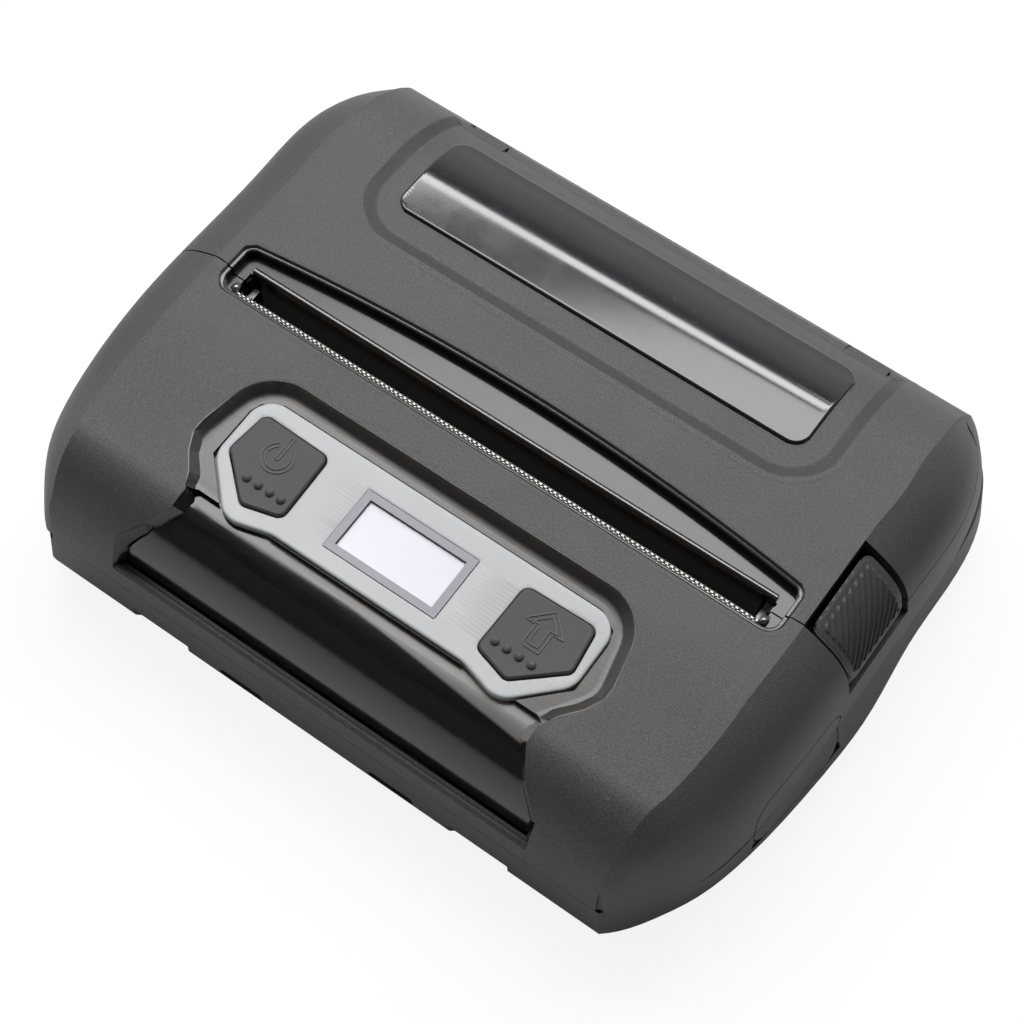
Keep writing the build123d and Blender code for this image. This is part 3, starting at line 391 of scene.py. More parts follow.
# Materials
def new_material(name, **constants):
    """Material with a Principled shader whose plain values sit on its own sockets."""
    material = bpy.data.materials.new(name)
    material.use_nodes = True
    tree = material.node_tree
    return material, tree, fill_in(tree, tree.nodes["Principled BSDF"], **constants)


def dress(node_names, material):
    """Gives CAD nodes a material in place of the one they were packed with."""
    for name in node_names:
        piece = NODES[name]
        if not piece.material_slots:
            piece.data.materials.append(material)
        for place in piece.material_slots:
            place.material = material


def case_material(settings, name="Matt charcoal", lift=1.0):
    """Matt charcoal shell; polished in the paper exit, with painted shade on the flanks and in the gap at the
    parting line.
    """
    material, tree, shader = new_material(name, Specular_IOR_Level=0.42)
    grain = group_node(tree, "grain", Size=settings.grain_size, Contrast=1.3)
    levels = group_node(tree, "levels")
    base = scaled(settings.case_color, lift)
    tone = color_mix(tree, grain["Speckle"], scaled(base, 0.62), scaled(base, 1.45))
    cloud = color_mix(tree, times(tree, grain["Cloud"], 0.25), tone, base)
    # Painted shade: the flanks grow darker and cooler towards the sides, where less light falls
    flank_shade_color = scaled(base, (0.50, 0.53, 0.60))
    with_flank_shade = color_mix(tree, times(tree, levels["Flank"], 0.80), cloud, flank_shade_color)
    dusty = dusted(tree, with_flank_shade, 0.22, 0.22)
    polished = color_mix(tree, levels["Sunk"], dusty, tuple(settings.gloss_color))
    # Painted shade: a near-black line stands for the shade in the gap between the shells
    with_parting_shade = color_mix(tree, levels["Parting line"], polished, (0.004, 0.004, 0.004))
    shine = times(tree, levels["Sunk"], 0.40)
    rough = math_node(tree, "SUBTRACT", smeared(tree, 0.56, 0.12), shine, clamp=True)
    height = times(tree, grain["Height"], math_node(tree, "SUBTRACT", 1.0, levels["Sunk"]))
    fill_in(tree, shader, Base_Color=with_parting_shade, Roughness=rough,
            Normal=bump_node(tree, height, 0.9, settings.grain_depth))
    return material


def gloss_material(name, color, rough=0.13, coat=0.5):
    """Polished dark plastic with faint smears and dust."""
    material, tree, shader = new_material(
        name, Specular_IOR_Level=0.55, Coat_Weight=coat, Coat_Roughness=0.06)
    where = object_vector(tree)
    cloud = span_node(tree, noise_node(tree, where, 45.0, 3.0), 0.3, 0.7)
    tone = color_mix(tree, cloud, scaled(color, 0.85), scaled(color, 1.2))
    fill_in(tree, shader, Base_Color=dusted(tree, tone, 0.12, 0.25), Roughness=smeared(tree, rough, 0.10),
            Normal=bump_node(tree, noise_node(tree, where, 60.0, 1.0), 0.03, 0.0002))
    return material


def liner_material(settings, name="Polished liner"):
    """Moulded liner: satin grey-brown in the ring, with painted shade on its slopes, nearly black in the
    scoop, and a painted highlight on the land between them at the right."""
    material, tree, shader = new_material(name, Specular_IOR_Level=0.5)
    x, y, _ = split_vector(tree, object_vector(tree))
    edge = math_node(tree, "ADD", y, times(tree, x, LAND_TAPER))
    scoop = span_node(tree, edge, LAND_EDGE, LAND_EDGE - LAND_SOFT)
    lines = group_node(tree, "lines", Stretch=(120.0, 1400.0, 1400.0))
    base = tuple(settings.gloss_color)
    ring = color_mix(tree, lines["Shade"], scaled(base, (2.3, 2.25, 2.15)), scaled(base, (4.2, 4.0, 3.7)))
    deep = color_mix(tree, lines["Shade"], scaled(base, 0.5), scaled(base, 0.9))
    # Painted shade: the ring's slopes darken the less they face up
    facing = split_vector(tree, add_node(tree, "NewGeometry").outputs["Normal"])["Z"]
    with_slope_shade = color_mix(tree, span_node(tree, facing, 0.985, 0.86, 0.0, 0.75), ring, scaled(base, 0.8))
    # Painted highlight: the land at the right is lightened as if it mirrored a light
    land_highlight = times(tree, span_node(tree, y, *LAND_HIGHLIGHT_Y), span_node(tree, x, *LAND_HIGHLIGHT_X, 0.0, 0.9))
    with_land_highlight = color_mix(tree, land_highlight, with_slope_shade, scaled(base, 11.0))
    rough = math_node(tree, "SUBTRACT", smeared(tree, 0.30, 0.12), times(tree, scoop, 0.15))
    fill_in(tree, shader, Base_Color=dusted(tree, color_mix(tree, scoop, with_land_highlight, deep), 0.10, 0.2),
            Roughness=rough, Normal=bump_node(tree, lines["Height"], 0.12, 0.00003))
    return material


def satin_material(name, color, rough, grain=0.00022, depth=0.00002, contrast=0.2, specular=0.5):
    """Satin paint or moulded plastic with a fine even grain."""
    material, tree, shader = new_material(name, Specular_IOR_Level=specular)
    surface = group_node(tree, "grain", Size=grain, Contrast=contrast)
    tone = color_mix(tree, surface["Speckle"], scaled(color, 0.93), scaled(color, 1.07))
    shift = color_mix(tree, times(tree, surface["Cloud"], 0.35), tone, scaled(color, 0.95))
    fill_in(tree, shader, Base_Color=dusted(tree, shift, 0.10, 0.3), Roughness=smeared(tree, rough, 0.12),
            Normal=bump_node(tree, surface["Height"], 0.4, depth))
    return material


def metal_material(name, color, rough=0.3, stretch=(20.0, 900.0, 900.0)):
    """Drawn or ground metal."""
    material, tree, shader = new_material(name, Metallic=1.0)
    lines = group_node(tree, "lines", Stretch=stretch)
    tone = color_mix(tree, lines["Shade"], scaled(color, 0.82), scaled(color, 1.08))
    fill_in(tree, shader, Base_Color=tone, Roughness=smeared(tree, rough, 0.16),
            Normal=bump_node(tree, lines["Height"], 0.25, 0.00003))
    return material


def circuit_material():
    """Green solder mask with tracks and pads."""
    material, tree, shader = new_material("Circuit board", Specular_IOR_Level=0.5)
    where = object_vector(tree)
    tracks = add_node(tree, "TexBrick", Vector=where, Scale=160.0, Mortar_Size=0.06).outputs["Fac"]
    green = color_mix(tree, noise_node(tree, where, 300.0), (0.012, 0.11, 0.045), (0.02, 0.17, 0.07))
    traced = color_mix(tree, times(tree, tracks, 0.6), green, (0.05, 0.26, 0.12))
    fill_in(tree, shader, Base_Color=traced, Roughness=smeared(tree, 0.32, 0.12),
            Normal=bump_node(tree, tracks, 0.3, 0.00005))
    return material


def display_material(settings):
    """Pale backlit display behind clear cover plastic."""
    material, tree, shader = new_material(
        "Pale display", Specular_IOR_Level=0.5, Coat_Weight=0.6, Coat_Roughness=0.08)
    where = object_vector(tree)
    pixels = add_node(
        tree, "TexBrick", Vector=where, Scale=3000.0, Mortar_Size=0.04, Brick_Width=0.5, Row_Height=0.5)
    pixels.offset = 0.0
    color = tuple(settings.display_color)
    tone = color_mix(tree, noise_node(tree, where, 90.0), scaled(color, 0.94), scaled(color, 1.05))
    cells = color_mix(tree, times(tree, pixels.outputs["Fac"], 0.10), tone, scaled(color, 0.8))
    fill_in(tree, shader, Base_Color=cells, Roughness=smeared(tree, 0.22, 0.08))
    return material


# Meshes
def roof_curve(y):
    """Drop of the roof between the front arc and its flat part: two cubic spans."""
    for i in (0, 1):
        start, end = ROOF_BEND[i], ROOF_BEND[i + 1]
        if y <= end:
            run = end - start
            t = (y - start) / run
            return ((2 * t**3 - 3 * t**2 + 1) * ROOF_DROP[i] + (t**3 - 2 * t**2 + t) * run * ROOF_SLOPE[i]
                    + (3 * t**2 - 2 * t**3) * ROOF_DROP[i + 1] + (t**3 - t**2) * run * ROOF_SLOPE[i + 1])
    return 0.0


def top_height(y):
    """Height of the case top at y, in metres."""
    centre, depth, rise = FRONT_ARC
    if y < centre:
        return PART_Z + rise * sqrt(max(0.0, 1 - ((y - centre) / depth) ** 2))
    if y < ROOF_BEND[-1]:
        return ROOF_Z + roof_curve(y)
    centre, depth, rise = REAR_ARC
    if y < centre:
        return ROOF_Z
    return PART_Z + rise * sqrt(max(0.0, 1 - ((y - centre) / depth) ** 2))


def skin_point(x, y, rise):
    """Point at a height square to the case top, below it where rise is negative."""
    step = 0.0002
    slope = (top_height(y + step) - top_height(y - step)) / (2 * step)
    length = sqrt(1 + slope**2)
    return Vector((x, y - slope / length * rise, top_height(y) + rise / length))


def ring_point(x, y, rise):
    """Point of the ring round the panel, whose floor is a leaning plane."""
    floor = RING_FLOOR_Z + RING_TILT * (y - RING_MIDDLE_Y)
    depth = top_height(y) - floor
    return Vector((x, y, top_height(y) + rise * depth / RING_DEPTH + RING_LIFT))


def rounded_path(corners, closed=True, step=PATH_STEP):
    """Points along an outline whose corners, in millimetres, are rounded by their own radii."""
    spots = [Vector((x * MM, y * MM)) for x, y, radius in corners]
    count = len(spots)
    points = []
    for i, (x, y, radius) in enumerate(corners):
        spot = spots[i]
        if radius <= 0 or (not closed and i in (0, count - 1)):
            points.append(spot)
            continue
        back = (spots[i - 1] - spot).normalized()
        ahead = (spots[(i + 1) % count] - spot).normalized()
        half = back.angle(ahead) / 2
        reach = radius * MM / tan(half)
        centre = spot + (back + ahead).normalized() * (radius * MM / sin(half))
        start = spot + back * reach - centre
        turn = pi - 2 * half
        if back.x * ahead.y - back.y * ahead.x > 0:
            turn = -turn
        steps = max(3, int(abs(turn) / radians(5)))
        for k in range(steps + 1):
            a = turn * k / steps
            turned = (start.x * cos(a) - start.y * sin(a), start.x * sin(a) + start.y * cos(a))
            points.append(centre + Vector(turned))
    dense = []
    pairs = list(zip(points, points[1:] + points[:1])) if closed else list(zip(points, points[1:]))
    for first, second in pairs:
        steps = max(1, int((second - first).length / step))
        dense += [first.lerp(second, k / steps) for k in range(steps)]
    if not closed:
        dense.append(points[-1])
    return dense


def mirrored(corners):
    """The same corners on the other side."""
    return [(-x, y, radius) for x, y, radius in corners]


def both_halves(corners, closed=True):
    """Corners of the right half and their mirror images, clockwise from above."""
    left = mirrored(reversed(corners))
    return left + list(corners) if not closed else list(corners) + left


def drawn_in(path, inset, closed=True):
    """The path moved to its right hand by inset."""
    count = len(path)
    moved = []
    for i, spot in enumerate(path):
        before = path[i - 1] if closed or i else spot
        after = path[(i + 1) % count] if closed or i < count - 1 else spot
        along = (after - before).normalized()
        moved.append(spot + Vector((along.y, -along.x)) * inset)
    return moved


def bridge(bm, rings, closed=True, second=range(0)):
    """Quads between rings of vertices; the bands in second take the second material."""
    for i, (ring, after) in enumerate(zip(rings, rings[1:])):
        count = len(ring)
        for k in range(count if closed else count - 1):
            n = (k + 1) % count
            face = bm.faces.new((ring[k], ring[n], after[n], after[k]))
            face.material_index = int(i in second)


def band(bm, path, profile, closed=True, second=range(0), level=skin_point):
    """Moulded band along a path; the profile lists its inset and rise, in millimetres."""
    rings = []
    for inset, rise in profile:
        rings.append([
            bm.verts.new(level(spot.x, spot.y, rise * MM))
            for spot in drawn_in(path, inset * MM, closed)
        ])
    bridge(bm, rings, closed, second)


def plate(bm, outline, holes, profile, hole_profile, level=skin_point):
    """Curved plate with openings: a filled top, and edges that follow the profiles down."""
    edges = []
    first_inset, top_rise = profile[0]
    loops = [drawn_in(outline, first_inset * MM)]
    loops += [drawn_in(hole, -hole_profile[0][0] * MM) for hole in holes]
    fill = bmesh.new()
    for loop in loops:
        ring = [fill.verts.new((spot.x, spot.y, 0.0)) for spot in loop]
        edges += [fill.edges.new((a, b)) for a, b in zip(ring, ring[1:] + ring[:1])]
    bmesh.ops.triangle_fill(fill, use_beauty=True, edges=edges)
    ys = [spot.y for spot in outline]
    rows = int((max(ys) - min(ys)) / PATH_STEP)
    for k in range(1, rows):
        bmesh.ops.bisect_plane(
            fill, geom=fill.verts[:] + fill.edges[:] + fill.faces[:],
            plane_co=(0, min(ys) + (max(ys) - min(ys)) * k / rows, 0), plane_no=(0, 1, 0))
    fill.verts.ensure_lookup_table()
    copies = {vert: bm.verts.new(level(vert.co.x, vert.co.y, top_rise * MM)) for vert in fill.verts}
    for face in fill.faces:
        bm.faces.new([copies[vert] for vert in face.verts])
    fill.free()
    band(bm, outline, profile, level=level)
    for hole in holes:
        band(bm, hole, [(-inset, rise) for inset, rise in hole_profile], level=level)
    bmesh.ops.remove_doubles(bm, verts=bm.verts, dist=WELD)


def prism(bm, lower, upper):
    """Closes a solid between two outlines."""
    lower = [bm.verts.new(spot) for spot in lower]
    upper = [bm.verts.new(spot) for spot in upper]
    bm.faces.new(list(reversed(lower)))
    bm.faces.new(upper)
    bridge(bm, (lower, upper))


def new_piece(name, bm, material, body, second=None, smooth=True):
    """Makes a piece of a bmesh, gives it its material and makes it ride a body."""
    mesh = finish_mesh(bm, name, smooth)
    piece = bpy.data.objects.new(name, mesh)
    bpy.context.scene.collection.objects.link(piece)
    mesh.materials.append(material)
    if second is not None:
        mesh.materials.append(second)
    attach(piece, body)
    return piece


def half_round_line(bm, path, width, height, level, closed=False):
    """Raised line with a rounded top; level gives the height of what it lies on."""
    steps = 6
    rings = []
    count = len(path)
    for i, (x, y) in enumerate(path):
        before = path[i - 1] if closed or i else path[i]
        after = path[(i + 1) % count] if closed or i < count - 1 else path[i]
        along = Vector((after[0] - before[0], after[1] - before[1])).normalized()
        across = Vector((-along.y, along.x))
        ring = []
        for k in range(steps + 1):
            turn = pi * k / steps
            offset = across * (width / 2 * cos(turn))
            z = level(y + offset.y) + height * sin(turn) - LINE_SINK
            ring.append(bm.verts.new((x + offset.x, y + offset.y, z)))
        rings.append(ring)
    bridge(bm, rings + rings[:1] if closed else rings, closed=False)
    if not closed:
        bm.faces.new(rings[0])
        bm.faces.new(list(reversed(rings[-1])))


def arc_points(x, y, radius, start, sweep, count):
    """Points on an arc, angles in degrees."""
    return [
        (x + radius * cos(radians(start + sweep * i / (count - 1))),
         y + radius * sin(radians(start + sweep * i / (count - 1))))
        for i in range(count)
    ]


def finish_mesh(bm, name, smooth=True):
    """Turns a bmesh into a mesh with smooth faces."""
    bmesh.ops.recalc_face_normals(bm, faces=bm.faces)
    mesh = bpy.data.meshes.new(name)
    bm.to_mesh(mesh)
    bm.free()
    for face in mesh.polygons:
        face.use_smooth = smooth
    return mesh


def key_level(y):
    """Top of the keys at y."""
    return top_height(y) - KEY_LEVEL


def spun_profile(bm, centre, profile, count=24):
    """Turned form round Z from (radius, height) pairs; the first and last may close on the axis."""
    x, y, z = centre
    rings = []
    for radius, height in profile:
        if radius <= 0.0:
            rings.append([bm.verts.new((x, y, z + height))])
            continue
        rings.append([
            bm.verts.new((x + radius * cos(turn), y + radius * sin(turn), z + height))
            for turn in (2 * pi * k / count for k in range(count))
        ])
    for low, high in zip(rings, rings[1:]):
        for k in range(count):
            n = (k + 1) % count
            if len(low) == 1:
                bm.faces.new((low[0], high[n], high[k]))
            elif len(high) == 1:
                bm.faces.new((low[k], low[n], high[0]))
            else:
                bm.faces.new((low[k], low[n], high[n], high[k]))


# Operators
class PRINTER_OT_finish_case(bpy.types.Operator):
    """Gives the shells, the latch button, the port flap and the liner their plastics"""
    bl_idname = "printer.finish_case"
    bl_label = "Finish the case"

    def execute(self, context):
        settings = context.scene.printer_case
        dress(("upper_housing", "lower_housing", "paper_cover", "battery_door"), case_material(settings))
        dress(("latch_button",), case_material(settings, "Latch plastic", 0.8))
        rubber = scaled(settings.case_color, 0.25)
        dress(("port_cover",), satin_material("Flap rubber", rubber, 0.55, 0.0004, 0.00005, 0.4))
        dress(("recess_liner",), liner_material(settings))
        return {"FINISHED"}


class PRINTER_OT_case_edges(bpy.types.Operator):
    """Moulds the soft edges of the recess, the window pad and the paper exit"""
    bl_idname = "printer.case_edges"
    bl_label = "Mould the case edges"

    RING_PROFILE = (
        (-3.0, 0.0), (-0.45, 0.0), (-0.2, -0.01), (0.0, -0.03), (0.2, -0.10),
        (1.6, -1.00), (1.85, -1.17), (2.1, -1.28), (2.4, -1.345), (2.7, -1.375), (3.0, -1.395))
    PAD_PROFILE = (
        (-1.4, 0.026), (-0.45, 0.026), (-0.25, 0.0), (0.0, -0.04), (0.3, -0.11),
        (1.9, -0.67), (2.2, -0.735), (2.5, -0.76), (2.9, -0.77), (3.5, -0.775))
    EXIT_PROFILE = (
        (-0.9, 0.026), (-0.30, 0.026), (-0.15, 0.0), (0.0, -0.06), (0.12, -0.16),
        (0.32, -0.40), (0.40, -0.46), (0.50, -0.48), (0.95, -0.50), (1.02, -0.56), (1.04, -0.75),
        (1.04, -2.6))
    ARC_STEPS = 16

    def execute(self, context):
        settings = context.scene.printer_case
        matt = case_material(settings, "Housing edge plastic")
        gloss = gloss_material("Polished edge", scaled(settings.gloss_color, 1.3), 0.24, 0.2)
        bm = bmesh.new()
        ring = rounded_path(both_halves(RING_CORNERS, closed=False), closed=False)
        band(bm, ring, self.RING_PROFILE, closed=False, second=range(3, 99), level=ring_point)
        new_piece("recess_edge", bm, matt, "base",
                  liner_material(settings, "Ring plastic"))
        bm = bmesh.new()
        pad = rounded_path(both_halves(PAD_CORNERS, closed=False), closed=False, step=FINE_STEP)
        pad.reverse()
        # Painted shade: the pad's slope bands take a darker copy of the case plastic
        band(bm, pad, self.PAD_PROFILE, closed=False, second=range(2, 7))
        new_piece("window_pad_edge", bm, matt, "cover",
                  case_material(settings, "Pad slope painted shade", 0.42))
        self.add_exit_edges(matt, gloss)
        return {"FINISHED"}

    def add_exit_edges(self, matt, gloss):
        """Edges of the paper exit: one on the housing and one on the cover, parted at the seam."""
        side = EXIT_CORNERS[0][0]
        front = [EXIT_CORNERS[0], (side, SEAM_Y / MM - 0.2, 0.0)]
        rear = [(side, SEAM_Y / MM + 0.2, 0.0), EXIT_CORNERS[1]]
        rise = EXIT_CREST - EXIT_FOOT
        radius = (EXIT_REACH**2 + rise**2) / (2 * rise)
        arc = []
        for k in range(1, 2 * self.ARC_STEPS):
            x = EXIT_REACH * (k / self.ARC_STEPS - 1)
            arc.append((x, EXIT_CREST - radius + sqrt(radius**2 - x**2), 0.0))
        edges = (
            ("exit_front_edge", "base", list(reversed(front)) + mirrored(front)),
            ("exit_rear_edge", "cover", mirrored(rear) + arc + list(reversed(rear))))
        for name, body, corners in edges:
            bm = bmesh.new()
            path = rounded_path(corners, closed=False)
            band(bm, path, self.EXIT_PROFILE, closed=False, second=range(2, 99))
            new_piece(name, bm, matt, body, gloss)


class PRINTER_OT_window_glass(bpy.types.Operator):
    """Builds the smoked window with rounded corners and a soft edge"""
    bl_idname = "printer.window_glass"
    bl_label = "Make the window"

    def execute(self, context):
        settings = context.scene.printer_case
        smoked = gloss_material("Smoked window", tuple(settings.window_color), 0.10, 0.0)
        bm = bmesh.new()
        outline = rounded_path(both_halves(WINDOW_CORNERS))
        profile = ((0.55, -0.26), (0.38, -0.28), (0.2, -0.34), (0.07, -0.45), (0.0, -0.6), (0.0, -1.4))
        plate(bm, outline, [], profile, ())
        glass = new_piece("window_glass", bm, smoked, "cover")
        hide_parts("window_lens")
        return {"FINISHED"}


class PRINTER_OT_panel_plate(bpy.types.Operator):
    """Builds the silver panel with rounded corners, round the keys and the display"""
    bl_idname = "printer.panel_plate"
    bl_label = "Make the panel plate"

    def execute(self, context):
        settings = context.scene.printer_panel
        silver = satin_material("Silver panel paint", tuple(settings.panel_color), 0.36, contrast=0.06)
        outline = rounded_path(both_halves(PANEL_CORNERS))
        width, depth, middle = DISPLAY_OPENING
        corners = [(side_x * width / 2, middle + side_y * depth / 2, 0.3)
                   for side_x, side_y in ((1, 1), (1, -1), (-1, -1), (-1, 1))]
        holes = [rounded_path(corners)]
        for side in (1, -1):
            key = [(side * x, y, radius) for x, y, radius in KEY_CORNERS]
            hole = rounded_path(key if side < 0 else list(reversed(key)))
            holes.append(drawn_in(hole, -0.0003))
        profile = ((0.5, -0.9), (0.3, -0.92), (0.12, -0.98), (0.03, -1.1), (0.0, -1.3), (0.0, -2.3))
        edge = ((0.2, -0.9), (0.06, -0.94), (0.0, -1.05), (0.0, -2.3))
        bm = bmesh.new()
        plate(bm, outline, holes, profile, edge)
        panel = new_piece("panel_plate", bm, silver, "base")
        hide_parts("control_panel")
        return {"FINISHED"}


class PRINTER_OT_finish_panel(bpy.types.Operator):
    """Gives the panel, the display and the keys their finishes"""
    bl_idname = "printer.finish_panel"
    bl_label = "Finish the control panel"

    def execute(self, context):
        settings = context.scene.printer_panel
        dress(("display_frame",), satin_material(
            "Display frame grey", tuple(settings.bezel_color), 0.40, contrast=0.15))
        dress(("lcd_module",), display_material(settings))
        dress(("power_button", "feed_button"), satin_material(
            "Key rubber", tuple(settings.key_color), 0.66, 0.0005, 0.00008, 0.6, 0.35))
        return {"FINISHED"}


class PRINTER_OT_key_marks(bpy.types.Operator):
    """Builds the raised marks on the keys: an on-off sign at the left and a feed arrow at the right"""
    bl_idname = "printer.key_marks"
    bl_label = "Make the key marks"

    def execute(self, context):
        settings = context.scene.printer_panel
        width = settings.mark_line
        color = scaled(settings.key_color, 1.35)
        rubber = satin_material("Key mark rubber", color, 0.5, 0.0004, 0.00003, 0.25)
        bm = bmesh.new()
        x, y = POWER_MARK_AT
        for radius in SIGN_RADII:
            half_round_line(bm, arc_points(x, y, radius, *SIGN_TURN, 40), width, MARK_HEIGHT, key_level)
        half, length = SIGN_BAR
        bar = [(x - half, y), (x - half, y + length)] + arc_points(x, y + length, half, 180, -180, 8)
        bar += [(x + half, y)] + arc_points(x, y, half, 0, -180, 8)[1:-1]
        half_round_line(bm, bar, width, MARK_HEIGHT, key_level, closed=True)
        new_piece("power_mark", bm, rubber, "power_key")
        bm = bmesh.new()
        x, y = FEED_MARK_AT
        for inset in ARROW_INSETS:
            tip, foot, half = 0.0044 - 1.5 * inset, -0.0040 + inset, 0.0040 - 1.9 * inset
            stem, neck = 0.0018 - inset, 0.0004 + 0.4 * inset
            arrow = [(0, tip), (half, neck), (stem, neck), (stem, foot)]
            arrow += [(-stem, foot), (-stem, neck), (-half, neck)]
            dense = []
            for (ax, ay), (bx, by) in zip(arrow, arrow[1:] + arrow[:1]):
                dense += [(x + ax + (bx - ax) * k / 4, y + ay + (by - ay) * k / 4) for k in range(4)]
            half_round_line(bm, dense, width, MARK_HEIGHT, key_level, closed=True)
        new_piece("feed_mark", bm, rubber, "feed_key")
        return {"FINISHED"}


class PRINTER_OT_paper_exit(bpy.types.Operator):
    """Finishes the tear bar and the guide, and adds the metal tabs at the bar's ends"""
    bl_idname = "printer.paper_exit"
    bl_label = "Finish the paper exit"

    def execute(self, context):
        settings = context.scene.printer_case
        steel = metal_material("Tear bar steel", (0.30, 0.29, 0.28), 0.30, (600.0, 90.0, 600.0))
        low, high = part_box("tear_bar")
        bm = bmesh.new()
        self.add_teeth(bm, low, high)
        teeth = new_piece("tear_teeth", bm, steel, "base", smooth=False)
        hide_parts("tear_bar")
        guide_low, guide_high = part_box("guide_bar")
        bm = bmesh.new()
        path = [Vector((guide_low.x + (guide_high.x - guide_low.x) * k / 40, guide_low.y)) for k in range(41)]
        height = (guide_high.z - guide_low.z) / MM
        section = [(0.0, 0.0), (0.0, 0.55 * height), (-0.15, 0.85 * height), (-0.45, height), (-0.9, height),
                   (-1.25, 0.8 * height), (-1.4, 0.0)]
        band(bm, path, section, closed=False, level=lambda x, y, rise: Vector((x, y, guide_low.z + rise)))
        polished = gloss_material("Polished guide", tuple(settings.gloss_color))
        guide = new_piece("exit_guide", bm, polished, "cover")
        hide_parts("guide_bar")
        bm = bmesh.new()
        for side, x in ((-1, low.x), (1, high.x)):
            bed, top = TAB_LEVELS
            outline = [(x + side * reach, y) for reach, y in TAB_CORNERS]
            prism(bm, [(px, py, bed) for px, py in outline],
                  [(px - side * TAB_LEAN, py, top) for px, py in outline])
        bmesh.ops.bevel(bm, geom=list(bm.edges), offset=0.00015, segments=2, affect="EDGES")
        new_piece("tear_bar_tabs", bm, steel, "base")
        return {"FINISHED"}

    def add_teeth(self, bm, low, high):
        """Sharp teeth over the slot, each with a ridge, on a strip notched at the front."""
        count = int(2 * TEETH_SPAN / TOOTH_PITCH)
        bed, top = high.z - TOOTH_DEPTH, high.z
        for i in range(count):
            x = -TEETH_SPAN + TOOTH_PITCH * (i + 0.5)
            half = TOOTH_PITCH * TOOTH_SHARE
            for reach, side in ((TOOTH_TIP, 1), (TOOTH_BACK, -1)):
                shift = 0.0 if side > 0 else TOOTH_PITCH / 2
                a = bm.verts.new((x + shift - half, TOOTH_ROOT, bed))
                b = bm.verts.new((x + shift + half, TOOTH_ROOT, bed))
                c = bm.verts.new((x + shift, reach, bed + TOOTH_EDGE))
                d = bm.verts.new((x + shift, TOOTH_ROOT, top))
                e = bm.verts.new((x + shift, reach - side * RIDGE_BACK, top - RIDGE_DROP))
                bm.faces.new((a, d, e, c))
                bm.faces.new((b, c, e, d))
                bm.faces.new((a, b, d))
                bm.faces.new((a, c, b))
        end, front = TEETH_SPAN, TOOTH_ROOT + STRIP_REACH
        corners = [(-end, TOOTH_BACK), (end, TOOTH_BACK), (end, front), (-end, front)]
        prism(bm, [(x, y, low.z) for x, y in corners], [(x, y, bed + STRIP_RISE) for x, y in corners])


